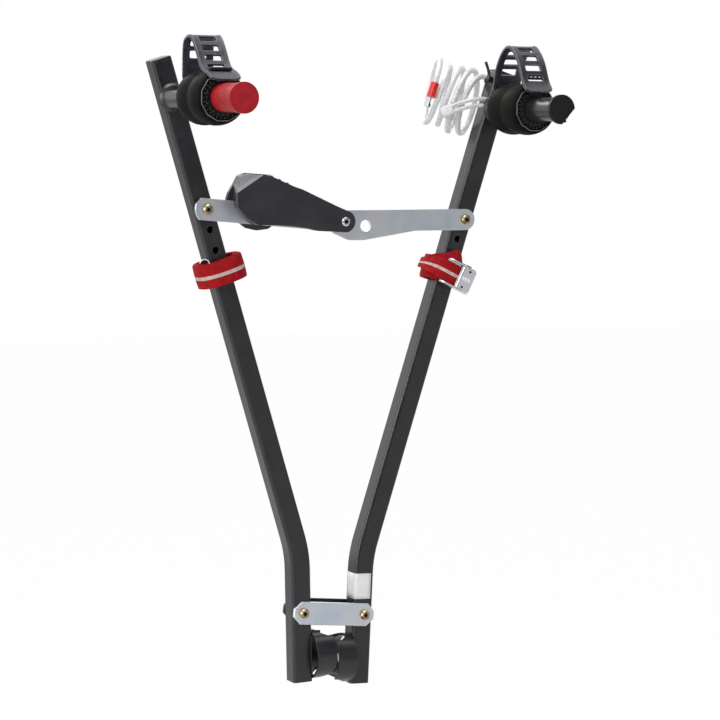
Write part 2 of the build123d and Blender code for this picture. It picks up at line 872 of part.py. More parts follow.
for name in sides:
    side_section = side_plane(arm_roots[name], -cradle_backs[name])
    with BuildLine(side_section) as route:
        strap_line(name)
    path = route.wire()
    with BuildPart() as strap:
        with BuildSketch(side_section):
            with BuildLine():
                strap_line(name)
            trace(line_width=strap_thickness)
            with BuildLine():
                Polyline(*scaled(routes[name][-2:]))
            trace(line_width=strap_tab_thickness)
        extrude(amount=strap_width / 2, both=True)
        tip = path @ 1
        tip_normal = (path % 1).cross(Vector(1, 0, 0))
        fillet(strap.edges().filter_by(Axis(tip, tip_normal)).sort_by_distance(tip)[0:2], strap_tab_round)
        for step in range(strap_slot_count):
            length = path.length - hook_distances[name] - step * strap_slot_pitch
            spot = path.position_at(length, position_mode=PositionMode.LENGTH)
            ahead = path.tangent_at(length, position_mode=PositionMode.LENGTH)
            with BuildSketch(Plane(origin=spot, x_dir=(1, 0, 0), z_dir=ahead.cross(Vector(1, 0, 0)))):
                RectangleRounded(strap_slot_width, strap_slot_height, strap_slot_round)
            extrude(amount=strap_thickness, both=True, mode=Mode.SUBTRACT)
        with BuildSketch(front_plane(arm_roots[name], -cradle_backs[name])):
            with Locations((0, strap_stud_rise)):
                with GridLocations(2 * strap_stud_spread, 0, 2, 1):
                    Circle(strap_stud_diameter / 2)
        extrude(amount=-cradle_radius, mode=Mode.SUBTRACT)
    save(strap, f"{name}_strap")

# Cradles: two soft lobes and a twelve-sided collar, cut away where the strap passes
body_length = cradle_length - collar_length
strap_slack = 2 * strap_seat_gap
for name in sides:
    root = arm_roots[name]
    back = -cradle_backs[name]
    side_section = side_plane(root, back)
    route = scaled(routes[name])
    stud_length = strap_thickness / 2 - route[0][0]
    lobe = body_length / 4
    with BuildPart() as cradle:
        with BuildSketch(half_plane(root, back)):
            with BuildLine():
                ThreePointArc(
                    (cradle_waist_radius, 0),
                    (cradle_radius, lobe),
                    (cradle_waist_radius, 2 * lobe),
                )
                ThreePointArc(
                    (cradle_waist_radius, 2 * lobe),
                    (cradle_radius, 3 * lobe),
                    (cradle_face_radius, body_length),
                )
                Polyline(
                    (cradle_face_radius, body_length),
                    (0, body_length),
                    (0, 0),
                    (cradle_waist_radius, 0),
                )
            make_face()
        revolve(axis=forward_axis(root))
        with BuildSketch(front_plane(root, back - body_length)):
            RegularPolygon(collar_radius, collar_sides, rotation=180 / collar_sides)
        extrude(amount=collar_length)
        with BuildSketch(front_plane(root, back - cradle_length)):
            RegularPolygon(collar_radius - collar_rim, collar_sides, rotation=180 / collar_sides)
        extrude(amount=-collar_recess, mode=Mode.SUBTRACT)
        with BuildSketch(side_section):
            with BuildLine():
                Polyline(
                    *route[-3:],
                    (route[-1][0], cut_extra),
                    (route[-3][0], cut_extra),
                    close=True,
                )
            make_face()
        extrude(amount=cut_extra, both=True, mode=Mode.SUBTRACT)
        with BuildSketch(side_section):
            with BuildLine():
                strap_line(name)
            trace(line_width=strap_thickness + strap_slack)
            with BuildLine():
                Polyline(*route[-2:])
            trace(line_width=strap_tab_thickness + strap_slack)
        extrude(amount=strap_width / 2 + strap_seat_gap, both=True, mode=Mode.SUBTRACT)
        with BuildSketch(side_section):
            with BuildLine():
                Polyline(*scaled(pegs[name]))
            trace(line_width=peg_thickness)
        extrude(amount=peg_width / 2, both=True)
        for reach, radius in {
            stud_length: strap_stud_diameter / 2 - strap_stud_fit,
            -strap_stud_cap: strap_stud_head / 2,
        }.items():
            start = back if reach > 0 else back + stud_length
            with BuildSketch(front_plane(root, start)):
                with Locations((0, strap_stud_rise)):
                    with GridLocations(2 * strap_stud_spread, 0, 2, 1):
                        Circle(radius)
            extrude(amount=-abs(reach))
        with BuildSketch(half_plane(root, back)):
            with BuildLine():
                Polyline(
                    (0, 0),
                    (core_outer + core_lip + face_gap, 0),
                    (core_outer + core_lip + face_gap, 2 * face_gap + core_lip_length),
                    (core_outer + turn_fit, 2 * face_gap + core_lip_length),
                    (core_outer + turn_fit, flange_back - face_gap),
                    (core_flange_radius + face_gap, flange_back - face_gap),
                    (core_flange_radius + face_gap, cradle_length),
                    (0, cradle_length),
                    close=True,
                )
            make_face()
        revolve(axis=forward_axis(root), mode=Mode.SUBTRACT)
    save(cradle, f"{name}_cradle")


def cross_plane(side, height):
    # Square to the upper arm: x runs to the right, y runs backward
    lean = math.radians(upper_lean)
    return Plane(
        origin=upper_point(side, height),
        x_dir=(math.cos(lean), 0, -side * math.sin(lean)),
        z_dir=lean_axis(side, upper_lean),
    )


# Buckle frame: x runs along the webbing, y across it
buckle_turn = math.radians(buckle_angle)
buckle_along = Vector(math.cos(buckle_turn), 0, -math.sin(buckle_turn))
buckle_across = Vector(math.sin(buckle_turn), 0, math.cos(buckle_turn))
buckle_mid = upper_point(1, webbing_heights["right"]) + Vector(buckle_out, 0, -buckle_drop)
buckle_back = -webbing_front - cam_lift
buckle_base = front_plane(buckle_mid, buckle_back, buckle_along)
tail_back = buckle_back - buckle_sheet - bolt_fit
tail_front = tail_back - webbing_sheet
pin_y = tail_front - cam_lift - cam_tooth / 2 - cam_drum
pin_mid = buckle_mid + buckle_along * (pin_share * buckle_length)
pin_centre = Vector(pin_mid.X, pin_y, pin_mid.Z)

# Webbing wound round the uprights, the right one with a tail through the buckle
webbing_depth = webbing_front + webbing_back
for name, side in sides.items():
    with BuildPart() as webbing:
        with BuildSketch(cross_plane(side, webbing_heights[name])):
            with Locations((0, (webbing_back - webbing_front) / 2)):
                RectangleRounded(webbing_outer_width, webbing_depth, webbing_round)
            inner_depth = tube_size + 2 * webbing_gap
            RectangleRounded(
                webbing_inner_width, inner_depth, webbing_inner_round, mode=Mode.SUBTRACT
            )
        extrude(amount=webbing_width / 2, both=True)
        if name == "right":
            with BuildSketch(front_plane(buckle_mid, tail_back, buckle_along)):
                with Locations(((tail_end - tail_start) / 2, 0)):
                    Rectangle(tail_start + tail_end, tail_width)
            extrude(amount=webbing_sheet)
            with BuildSketch(front_plane(buckle_mid, tail_back, buckle_along)):
                with Locations((tail_root / 2 - tail_start, 0)):
                    Rectangle(tail_root, tail_width)
            extrude(amount=-(webbing_round / 2))
    save(webbing, f"{name}_webbing")

with BuildPart() as buckle_frame:
    with BuildSketch(buckle_base):
        Rectangle(buckle_length, buckle_width + 2 * buckle_sheet)
    extrude(amount=buckle_sheet)
    with BuildSketch(buckle_base):
        with GridLocations(0, buckle_width + buckle_sheet, 1, 2):
            Rectangle(buckle_length, buckle_sheet)
    extrude(amount=buckle_flange)
    flange_tips = buckle_frame.edges().filter_by(Axis(pin_centre, buckle_across))
    chamfer(flange_tips.group_by(Axis.Y)[0], buckle_corner)
    with BuildSketch(Plane(origin=pin_centre, x_dir=buckle_along, z_dir=buckle_across)):
        Circle(pin_diameter / 2)
    extrude(amount=buckle_width, both=True, mode=Mode.SUBTRACT)
save(buckle_frame, "buckle_frame")

with BuildPart() as buckle_pin:
    with BuildSketch(Plane(origin=pin_centre, x_dir=buckle_along, z_dir=buckle_across)):
        Circle(pin_diameter / 2)
    extrude(amount=buckle_width / 2 + buckle_sheet + pin_end, both=True)
save(buckle_pin, "buckle_pin")

cam_length = buckle_length / 2 - pin_share * buckle_length - cam_end_gap
with BuildPart() as buckle_cam:
    with BuildSketch(Plane(origin=pin_centre, x_dir=buckle_along, z_dir=buckle_across)):
        Circle(cam_drum)
        with Locations((cam_length / 2, -cam_drum + cam_sheet / 2)):
            Rectangle(cam_length, cam_sheet)
        with PolarLocations(cam_drum, cam_tooth_count, cam_tooth_start, cam_tooth_arc):
            Rectangle(cam_tooth, cam_tooth)
        Circle(pin_diameter / 2 + turn_fit, mode=Mode.SUBTRACT)
    extrude(amount=buckle_width / 2 - cam_side_gap, both=True)
save(buckle_cam, "buckle_cam")

# Lock cable: a loose coil from a formula, angles measured from its top towards the front
tilt = math.radians(coil_tilt)
yaw = math.radians(coil_yaw)
flat = math.cos(tilt)
coil_axis = Vector(math.cos(yaw) * flat, -math.sin(yaw) * flat, -math.sin(tilt))
coil_up = (Vector(0, 0, 1) - coil_axis * coil_axis.Z).normalized()
coil_near = coil_axis.cross(coil_up)
coil_centre = Vector(coil_x, coil_y, coil_z)


def coil_point(turns):
    share = turns / coil_turns
    angle = math.radians(coil_start_angle - 360 * turns)
    fan = math.radians(coil_fan_start + (coil_fan_end - coil_fan_start) * share)
    side = coil_near * math.cos(fan) - coil_axis * math.sin(fan)
    ring = coil_up * math.cos(angle) + side * math.sin(angle)
    swell = coil_swell_share * math.cos(2 * math.pi * coil_swells * share)
    along = coil_axis * (coil_pitch * (turns - coil_turns / 2))
    return coil_centre + along + ring * (coil_radius * (1 + swell))


def coil_heading(turns):
    return (coil_point(turns + coil_turn_step) - coil_point(turns - coil_turn_step)).normalized()


def coil_joint(first, last):
    # Point where the two arcs of one biarc meet, with equal tangent lengths
    a, b = coil_point(first), coil_point(last)
    s, t = coil_heading(first), coil_heading(last)
    gap = b - a
    p = s.dot(t) - 1
    q = gap.dot(s + t)
    root = math.sqrt(q * q - 2 * p * gap.dot(gap))
    reach = (q - root) / (2 * p)
    return ((a + s * reach) + (b - t * reach)) / 2


coil_start = coil_point(0)
coil_end = coil_point(coil_turns)
start_heading = coil_heading(0)
end_heading = coil_heading(coil_turns)
with BuildPart() as cable:
    with BuildLine():
        Line(coil_start - start_heading * cable_diameter, coil_start)
        for step in range(coil_biarcs):
            first = coil_turns * step / coil_biarcs
            last = coil_turns * (step + 1) / coil_biarcs
            joint = coil_joint(first, last)
            half = TangentArc(coil_point(first), joint, tangent=coil_heading(first))
            TangentArc(joint, coil_point(last), tangent=half % 1)
        Line(coil_end, coil_end + end_heading * cable_diameter)
    with BuildSketch(Plane(origin=coil_start - start_heading * cable_diameter, z_dir=start_heading)):
        Circle(cable_diameter / 2)
    sweep()
save(cable, "lock_cable")

print("cable smallest turn radius", coil_radius * (1 - coil_swell_share))

with BuildPart() as end_sleeve:
    with BuildSketch(Plane(origin=coil_start, z_dir=start_heading * -1)):
        Circle(end_sleeve_diameter / 2)
    extrude(amount=end_sleeve_length)
    with BuildSketch(Plane(origin=coil_start, z_dir=start_heading * -1)):
        Circle(cable_diameter / 2)
    extrude(amount=cable_diameter, mode=Mode.SUBTRACT)
save(end_sleeve, "cable_end_sleeve")

sleeve_foot = coil_start - start_heading * end_sleeve_length
clasp_plane = Plane(origin=sleeve_foot, z_dir=start_heading * -1)
with BuildPart() as clasp:
    with BuildSketch(clasp_plane):
        Circle(clasp_neck_diameter / 2)
    extrude(amount=clasp_length)
    with BuildSketch(clasp_plane.offset(clasp_length * (1 - clasp_share))):
        Circle(clasp_diameter / 2)
    extrude(amount=clasp_length * clasp_share)
save(clasp, "cable_clasp")

with BuildPart() as cable_ferrule:
    with BuildSketch(Plane(origin=coil_end, z_dir=end_heading)):
        Circle(cable_ferrule_diameter / 2)
    extrude(amount=cable_ferrule_length)
    with BuildSketch(Plane(origin=coil_end, z_dir=end_heading)):
        Circle(cable_diameter / 2)
    extrude(amount=cable_diameter, mode=Mode.SUBTRACT)
save(cable_ferrule, "cable_ferrule")

# Lanyard: two strands from a clip round the coil into the right upright
lanyard_turn = math.radians(lanyard_angle)
lanyard_heading = coil_axis * math.cos(lanyard_turn) + coil_up * math.sin(lanyard_turn)
entry_turn = lanyard_heading.get_angle(right_inward * -1)
corner_reach = lanyard_bend * math.tan(math.radians(entry_turn / 2)) + lanyard_diameter
strand_starts = []
for count, spot in enumerate(lanyard_holes):
    corner = spot + right_inward * corner_reach
    start = corner - lanyard_heading * lanyard_length
    strand_starts.append(start)
    inner = spot - right_inward * lanyard_reach
    print("strand", count + 1, "bend", lanyard_bend, "turn", entry_turn)
    with BuildPart() as strand:
        with BuildLine():
            FilletPolyline(start, corner, inner, radius=lanyard_bend)
        with BuildSketch(Plane(origin=start, z_dir=lanyard_heading)):
            Circle(lanyard_diameter / 2)
        sweep()
    save(strand, f"lanyard_strand_{count + 1}")

strand_mid = (strand_starts[0] + strand_starts[1]) / 2
strand_gap = strand_starts[0] - strand_starts[1]
stagger = strand_gap.dot(lanyard_heading)
strand_side = strand_gap - lanyard_heading * stagger
clip_root = strand_mid - lanyard_heading * (abs(stagger) / 2 + clip_wall)
clip_mid = clip_root + lanyard_heading * (clip_length / 2)
limb = coil_point(clip_turns)
limb_heading = coil_heading(clip_turns)
clip_height = lanyard_diameter + 2 * clip_wall
with BuildPart() as clip:
    with BuildSketch(Plane(origin=clip_root, x_dir=strand_side, z_dir=lanyard_heading)):
        SlotOverall(strand_side.length + clip_height, clip_height)
    extrude(amount=clip_length)
    ring_foot = limb - limb_heading * (clip_ring_length / 2)
    with BuildSketch(Plane(origin=ring_foot, z_dir=limb_heading)):
        Circle(cable_diameter / 2 + clip_ring_fit + clip_ring_wall)
    extrude(amount=clip_ring_length)
    with BuildSketch(Plane(origin=limb, z_dir=clip_mid - limb)):
        Circle(clip_neck / 2)
    extrude(amount=(clip_mid - limb).length)
    with BuildSketch(Plane(origin=limb - limb_heading * cut_extra / 2, z_dir=limb_heading)):
        Circle(cable_diameter / 2 + clip_ring_fit)
    extrude(amount=cut_extra, mode=Mode.SUBTRACT)
    for start in strand_starts:
        with BuildSketch(Plane(origin=start, z_dir=lanyard_heading)):
            Circle(lanyard_diameter / 2)
        extrude(amount=cut_extra, mode=Mode.SUBTRACT)
print("clip to limb", (clip_mid - limb).length, "solids", len(clip.solids()))
save(clip, "lanyard_clip")

# Cable tie round the top of the right upright, its head on the inner side
tie_plane = cross_plane(1, arm_top - tie_drop)
tie_inner = tube_size + 2 * tie_gap
tie_outer = tie_inner + 2 * tie_sheet
head_x = -(tie_outer + tie_head_depth) / 2
with BuildPart() as cable_tie:
    with BuildSketch(tie_plane):
        RectangleRounded(tie_outer, tie_outer, tube_corner + tie_sheet)
        RectangleRounded(tie_inner, tie_inner, tube_corner, mode=Mode.SUBTRACT)
    extrude(amount=tie_width / 2, both=True)
    with BuildSketch(tie_plane):
        with Locations((head_x, -tie_head_forward)):
            Rectangle(tie_head_depth + tie_sheet, tie_head)
    extrude(amount=tie_width / 2 + tie_sheet / 2, both=True)
    tail_root = tie_plane.from_local_coords(Vector(head_x, -tie_head_forward))
    with BuildSketch(front_plane(tail_root, tail_root.Y + tie_width / 2)):
        with BuildLine():
            Polyline(*[(x * tie_head, y * tie_head) for x, y in tie_tail_shares])
        trace(line_width=tie_tail_sheet)
    extrude(amount=tie_width)
save(cable_tie, "cable_tie")
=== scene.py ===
import math
import random

import bpy
from mathutils import Matrix, Vector


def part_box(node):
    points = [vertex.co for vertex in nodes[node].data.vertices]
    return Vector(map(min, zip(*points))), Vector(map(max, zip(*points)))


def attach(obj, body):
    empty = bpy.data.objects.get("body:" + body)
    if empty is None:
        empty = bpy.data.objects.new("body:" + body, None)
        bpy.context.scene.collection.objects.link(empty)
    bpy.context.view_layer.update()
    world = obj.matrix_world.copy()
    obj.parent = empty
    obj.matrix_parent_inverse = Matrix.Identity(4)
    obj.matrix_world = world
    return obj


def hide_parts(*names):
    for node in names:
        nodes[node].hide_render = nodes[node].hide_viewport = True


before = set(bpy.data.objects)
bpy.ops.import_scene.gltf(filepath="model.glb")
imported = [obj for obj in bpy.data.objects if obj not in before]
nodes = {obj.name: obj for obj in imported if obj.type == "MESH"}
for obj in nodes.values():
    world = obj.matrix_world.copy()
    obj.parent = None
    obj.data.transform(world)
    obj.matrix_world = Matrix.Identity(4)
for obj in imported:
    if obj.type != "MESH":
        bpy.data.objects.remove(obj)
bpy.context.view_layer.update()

mm = 0.001
sides = (("left", -1), ("right", 1))

# the uprights' layout in millimetres and degrees, as in the CAD
layout = {
    "pivotSpacing": 81.0, "pivotHeight": 54.0, "pivotRise": 3.9,
    "lowerLean": 1.9, "upperLean": 17.3, "bendHeight": 71.0,
    "tubeSize": 25.0, "tubeCorner": 4.0, "supportHeight": 566.8,
}


def leanAxis(side, lean):
    angle = math.radians(lean)
    return Vector((side * math.sin(angle), 0, math.cos(angle)))


def inwardAxis(side, lean):
    angle = math.radians(lean)
    return Vector((-side * math.cos(angle), 0, math.sin(angle)))


def lowerPoint(side, height):  # on the lower part's middle line, height from the pivot
    pivotHeight = layout["pivotHeight"] - side * layout["pivotRise"]
    pivot = Vector((side * layout["pivotSpacing"] / 2, 0, pivotHeight))
    return (pivot + leanAxis(side, layout["lowerLean"]) * height) * mm


def upperPoint(side, height):  # on the upper part's middle line, height from the bend
    return lowerPoint(side, layout["bendHeight"]) + leanAxis(side, layout["upperLean"]) * height * mm


def between(first, last, share):
    return first + (last - first) * share


def addObject(name, data):
    thing = bpy.data.objects.new(name, data)
    bpy.context.scene.collection.objects.link(thing)
    return thing


# camera first, then the cords
cameraSetup = {
    "turn": 26.2, "tilt": 5.47, "roll": 0.75, "lens": 130, "sensor": 36,
    "distance": 3.13278, "look": (0.03809, 0.0, 0.35872), "clip": (0.1, 60),
}


def makeCamera():
    turn, tilt, roll = (math.radians(cameraSetup[key]) for key in ("turn", "tilt", "roll"))
    forward = Vector((math.sin(turn) * math.cos(tilt), math.cos(turn) * math.cos(tilt), -math.sin(tilt)))
    right = Vector((math.cos(turn), -math.sin(turn), 0))
    up = right.cross(forward)
    rolledRight = right * math.cos(roll) + up * math.sin(roll)
    rolledUp = up * math.cos(roll) - right * math.sin(roll)
    data = bpy.data.cameras.new("photoCamera")
    data.lens, data.sensor_width = cameraSetup["lens"], cameraSetup["sensor"]
    data.clip_start, data.clip_end = cameraSetup["clip"]
    camera = addObject("photoCamera", data)
    axes = Matrix((rolledRight, rolledUp, -forward)).transposed()
    spot = Vector(cameraSetup["look"]) - forward * cameraSetup["distance"]
    camera.matrix_world = Matrix.Translation(spot) @ axes.to_4x4()
    bpy.context.scene.camera = camera


makeCamera()
print("camera placed")

# helpers for the materials, with depths and radii in millimetres
noiseSpan = (0.3, 0.7)  # where most of a noise's values lie


def newMaterial(name):
    material = bpy.data.materials.new(name)
    material.use_nodes = True
    tree = material.node_tree
    return material, tree, tree.nodes["Principled BSDF"]


def addNode(tree, kind, **values):
    node = tree.nodes.new(kind)
    for name, value in values.items():
        if name in node.inputs:
            node.inputs[name].default_value = value
        else:
            setattr(node, name, value)
    return node


def wire(tree, start, end, name=None):  # from a node or an output, to an input or a node's named input
    source = start if not hasattr(start, "outputs") else start.outputs[0]
    target = end.inputs[name] if name is not None else end
    tree.links.new(source, target)


def combine(tree, operation, first, second=None):  # second may be a plain number
    node = addNode(tree, "ShaderNodeMath", operation=operation)
    wire(tree, first, node.inputs[0])
    if isinstance(second, float):
        node.inputs[1].default_value = second
    elif second is not None:
        wire(tree, second, node.inputs[1])
    return node


def objectSpot(tree, scale=(1, 1, 1)):
    coords = tree.nodes.new("ShaderNodeTexCoord")
    mapping = tree.nodes.new("ShaderNodeMapping")
    mapping.inputs["Scale"].default_value = scale
    tree.links.new(coords.outputs["Object"], mapping.inputs["Vector"])
    return mapping


def noiseAt(tree, mapping, scale, detail=3, rough=0.55, distortion=0):
    node = addNode(tree, "ShaderNodeTexNoise", Scale=scale, Detail=detail, Roughness=rough,
                   Distortion=distortion)
    tree.links.new(mapping.outputs[0], node.inputs["Vector"])
    return node


def ramp(tree, source, stops):
    node = tree.nodes.new("ShaderNodeValToRGB")
    band = node.color_ramp
    while len(band.elements) < len(stops):
        band.elements.new(0.5)
    for element, (stop, colour) in zip(band.elements, stops):
        element.position = stop
        element.color = (*colour, 1)
    tree.links.new(source, node.inputs["Fac"])
    return node


def remap(tree, source, low, high, newLow, newHigh):
    node = addNode(tree, "ShaderNodeMapRange")
    for name, value in (("From Min", low), ("From Max", high), ("To Min", newLow), ("To Max", newHigh)):
        node.inputs[name].default_value = value
    tree.links.new(source, node.inputs["Value"])
    return node


def mottle(tree, cloud, first, second, span=noiseSpan):  # a colour that drifts with a noise
    return ramp(tree, cloud.outputs["Fac"], [(span[0], first), (span[1], second)])


def vary(tree, cloud, values, span=noiseSpan):  # a value that drifts with a noise
    return remap(tree, cloud.outputs["Fac"], *span, *values)


def softEdges(tree, radius):  # normals that round the edges
    node = tree.nodes.new("ShaderNodeBevel")
    node.samples = 6
    node.inputs["Radius"].default_value = radius * mm
    return node


def edgeMask(tree, bevel, span):  # 1 where the rounded normal leaves the real one, so on edges
    geometry = tree.nodes.new("ShaderNodeNewGeometry")
    dot = tree.nodes.new("ShaderNodeVectorMath")
    dot.operation = "DOT_PRODUCT"
    tree.links.new(bevel.outputs[0], dot.inputs[0])
    tree.links.new(geometry.outputs["Normal"], dot.inputs[1])
    return remap(tree, dot.outputs["Value"], *span, 1, 0)


def bumpFrom(tree, height, strength, depth, below=None):
    node = addNode(tree, "ShaderNodeBump", Strength=strength, Distance=depth * mm)
    tree.links.new(height, node.inputs["Height"])
    if below is not None:
        tree.links.new(below.outputs[0], node.inputs["Normal"])
    return node


def mixColour(tree, factor, first, second):
    node = tree.nodes.new("ShaderNodeMix")
    node.data_type = "RGBA"
    tree.links.new(factor, node.inputs[0])
    for socket, value in ((node.inputs[6], first), (node.inputs[7], second)):
        if hasattr(value, "is_linked"):
            tree.links.new(value, socket)
        else:
            socket.default_value = (*value, 1)
    return node.outputs[2]


# the plain values that a finish may give
shaderSockets = {
    "roughness": "Roughness", "metal": "Metallic", "shine": "Specular IOR Level", "coat": "Coat Weight",
    "coatRoughness": "Coat Roughness", "seeThrough": "Transmission Weight",
}


def setShader(tree, shader, finish, colour, bump):
    wire(tree, colour, shader, "Base Color")
    wire(tree, bump, shader, "Normal")
    for key, socket in shaderSockets.items():
        if key in finish:
            shader.inputs[socket].default_value = finish[key]


# the materials, each with its own values first
def powderCoat():
    finish = {
        "dark": (0.014, 0.014, 0.016), "light": (0.023, 0.022, 0.026), "patchScale": 38, "shine": 0.5,
        "roughnessSpan": (0.19, 0.31), "grainScale": 1400, "grainDepth": 0.05, "bump": 0.5,
        # the paler colour on the edges is partly wear and partly painted highlight along the rounded corners
        "edge": 0.9, "wearAndSheen": (0.10, 0.095, 0.09), "wearAndSheenSpan": (0.86, 0.985),
        "scratchScale": 220, "scratchSpan": (0.48, 0.62), "scratchShare": (0.1, 0.4),
    }
    material, tree, shader = newMaterial("powderCoat")
    spot = objectSpot(tree)
    broad = noiseAt(tree, spot, finish["patchScale"], detail=4)
    grain = noiseAt(tree, spot, finish["grainScale"], detail=2)
    scratch = noiseAt(tree, spot, finish["scratchScale"], detail=5, rough=0.7)
    bevel = softEdges(tree, finish["edge"])
    tone = mottle(tree, broad, finish["dark"], finish["light"])
    # painted highlight and wear on the edges, broken up by the scratch noise
    wearSheenShare = vary(tree, scratch, finish["scratchShare"], finish["scratchSpan"])
    wearAndSheen = combine(tree, "MULTIPLY", edgeMask(tree, bevel, finish["wearAndSheenSpan"]), wearSheenShare)
    colour = mixColour(tree, wearAndSheen.outputs[0], tone.outputs[0], finish["wearAndSheen"])
    bump = bumpFrom(tree, grain.outputs["Fac"], finish["bump"], finish["grainDepth"], bevel)
    wire(tree, vary(tree, broad, finish["roughnessSpan"]), shader, "Roughness")
    setShader(tree, shader, finish, colour, bump)
    return material


def zincSheet(name="zincSheet", brightness=1.0):
    finish = {
        "tints": ((0.60, 0.68, 0.78), (0.73, 0.77, 0.82), (0.77, 0.74, 0.76)), "stops": (0.32, 0.52, 0.70),
        "cloudScale": 24, "roughnessSpan": (0.28, 0.44), "metal": 0.9,
        "streakScale": 700, "streakDepth": 0.04, "streakStretch": (0.05, 1, 1), "bump": 0.25,
        # the pale colour on the edges is painted highlight along the sheet's rims
        "edge": 0.5, "rim": 1.1, "bare": (0.88, 0.90, 0.93), "edgeHighlightSpan": (0.88, 0.99),
    }
    material, tree, shader = newMaterial(name)
    cloud = noiseAt(tree, objectSpot(tree), finish["cloudScale"], detail=3, rough=0.5, distortion=0.6)
    tints = [[brightness * value for value in tint] for tint in finish["tints"]]
    tone = ramp(tree, cloud.outputs["Fac"], list(zip(finish["stops"], tints)))
    # paler edges: painted highlight
    bare = edgeMask(tree, softEdges(tree, finish["rim"]), finish["edgeHighlightSpan"])
    colour = mixColour(tree, bare.outputs[0], tone.outputs[0], finish["bare"])
    streak = noiseAt(tree, objectSpot(tree, finish["streakStretch"]), finish["streakScale"], detail=3)
    bevel = softEdges(tree, finish["edge"])
    bump = bumpFrom(tree, streak.outputs["Fac"], finish["bump"], finish["streakDepth"], bevel)
    wire(tree, vary(tree, cloud, finish["roughnessSpan"]), shader, "Roughness")
    setShader(tree, shader, finish, colour, bump)
    return material


def yellowZinc():
    finish = {
        "rust": (0.30, 0.17, 0.10), "gold": (0.38, 0.29, 0.13), "pale": (0.60, 0.55, 0.42),
        "stops": (0.34, 0.47, 0.66), "cloudScale": 260, "roughness": 0.32, "metal": 1,
        "grainScale": 2600, "grainDepth": 0.03, "bump": 0.2, "edge": 0.4,
    }
    material, tree, shader = newMaterial("yellowZinc")
    cloud = noiseAt(tree, objectSpot(tree), finish["cloudScale"], detail=3, rough=0.6, distortion=0.8)
    tints = (finish["rust"], finish["gold"], finish["pale"])
    colour = ramp(tree, cloud.outputs["Fac"], list(zip(finish["stops"], tints)))
    grain = noiseAt(tree, objectSpot(tree), finish["grainScale"], detail=2)
    bevel = softEdges(tree, finish["edge"])
    bump = bumpFrom(tree, grain.outputs["Fac"], finish["bump"], finish["grainDepth"], bevel)
    setShader(tree, shader, finish, colour, bump)
    return material


# plain finishes of one cloudy colour: what they share, then what each has of its own
cloudedBase = {"detail": 3, "bump": 0.2, "grainDepth": 0.1, "edge": None}
cloudedKinds = {
    "brightSteel": {
        "dark": (0.52, 0.54, 0.57), "light": (0.72, 0.73, 0.75), "cloudScale": 400, "roughness": 0.24,
        "metal": 1, "bump": 0.15, "grainDepth": 0.03, "edge": 0.4,
    },
    "redSleeve": {
        "dark": (0.60, 0.010, 0.012), "light": (0.80, 0.025, 0.020), "cloudScale": 150, "roughness": 0.3,
        "coat": 0.3, "edge": 0.8,
    },
    # pale finish for the label, the stripe and the loop, and painted highlight for the hook's specks
    "paleLabelAndGlint": {
        "dark": (0.78, 0.78, 0.77), "light": (0.86, 0.86, 0.85), "cloudScale": 90, "roughness": 0.4,
        "detail": 4,
    },
}


def cloudedFinish(name):
    finish = {**cloudedBase, **cloudedKinds[name]}
    material, tree, shader = newMaterial(name)
    cloud = noiseAt(tree, objectSpot(tree), finish["cloudScale"], finish["detail"])
    bevel = softEdges(tree, finish["edge"]) if finish["edge"] else None
    bump = bumpFrom(tree, cloud.outputs["Fac"], finish["bump"], finish["grainDepth"], bevel)
    setShader(tree, shader, finish, mottle(tree, cloud, finish["dark"], finish["light"]), bump)
    return material


# moulded blacks: what they share, then what each has of its own
blackBase = {
    "patchScale": 55, "grainScale": 1800, "grainDepth": 0.08, "bump": 0.5, "edge": 0.9, "shine": 0.5,
    # the paler colour on the edges is partly wear and partly painted highlight
    "wearAndSheen": (0.10, 0.10, 0.105), "wearAndSheenSpan": (0.86, 0.985), "rubbedAndLit": 0.5, "roughnessDrift": (-0.06, 0.07),
}
blackKinds = {
    "handlePlastic": {
        "dark": (0.014, 0.013, 0.017), "light": (0.036, 0.034, 0.044), "roughness": 0.42, "patchScale": 16,
    },
    "blackPlastic": {
        "dark": (0.005, 0.005, 0.0055), "light": (0.011, 0.011, 0.012), "roughness": 0.42, "shine": 0.3,
    },
    "cradleRubber": {
        "dark": (0.0045, 0.0045, 0.004), "light": (0.009, 0.009, 0.008), "roughness": 0.58, "shine": 0.05,
        "grainScale": 900, "grainDepth": 0.12, "edge": 1.2, "wearAndSheen": (0.10, 0.10, 0.10), "rubbedAndLit": 0.0,
    },
    # pale rubber for the collar's rim and dots: painted highlight
    "paintedRubberHighlight": {
        "dark": (0.07, 0.07, 0.072), "light": (0.21, 0.21, 0.215), "roughness": 0.5,
        "grainScale": 700, "grainDepth": 0.1, "edge": 0.4,
    },
    # near-black for painted shade in sockets and slots
    "paintedRecessShade": {
        "dark": (0.004, 0.004, 0.004), "light": (0.010, 0.009, 0.008), "roughness": 0.7, "shine": 0.1,
        "grainScale": 700, "grainDepth": 0.1, "edge": 0.4,
    },
    # a paler black for the handle's shoulder bevel: painted highlight
    "handleBevelHighlight": {
        "dark": (0.18, 0.185, 0.215), "light": (0.27, 0.275, 0.315), "roughness": 0.4,
        "grainScale": 900, "edge": 0.6,
    },
    # the strap's pale bluish edges are painted highlight along its rims
    "strapRubber": {
        "dark": (0.004, 0.004, 0.007), "light": (0.050, 0.052, 0.070), "roughness": 0.40, "patchScale": 420,
        "grainScale": 1100, "grainDepth": 0.12, "edge": 1.4, "wearAndSheen": (0.42, 0.43, 0.50), "rubbedAndLit": 1.0,
    },
    "hookRubber": {
        "dark": (0.006, 0.006, 0.006), "light": (0.014, 0.014, 0.013), "roughness": 0.45, "shine": 0.3,
        "grainScale": 900, "grainDepth": 0.1, "edge": 0.8, "wearAndSheen": (0.22, 0.23, 0.20), "rubbedAndLit": 0.4,
    },
    "blackPlate": {
        "dark": (0.012, 0.012, 0.014), "light": (0.020, 0.020, 0.022), "roughness": 0.4,
    },
}


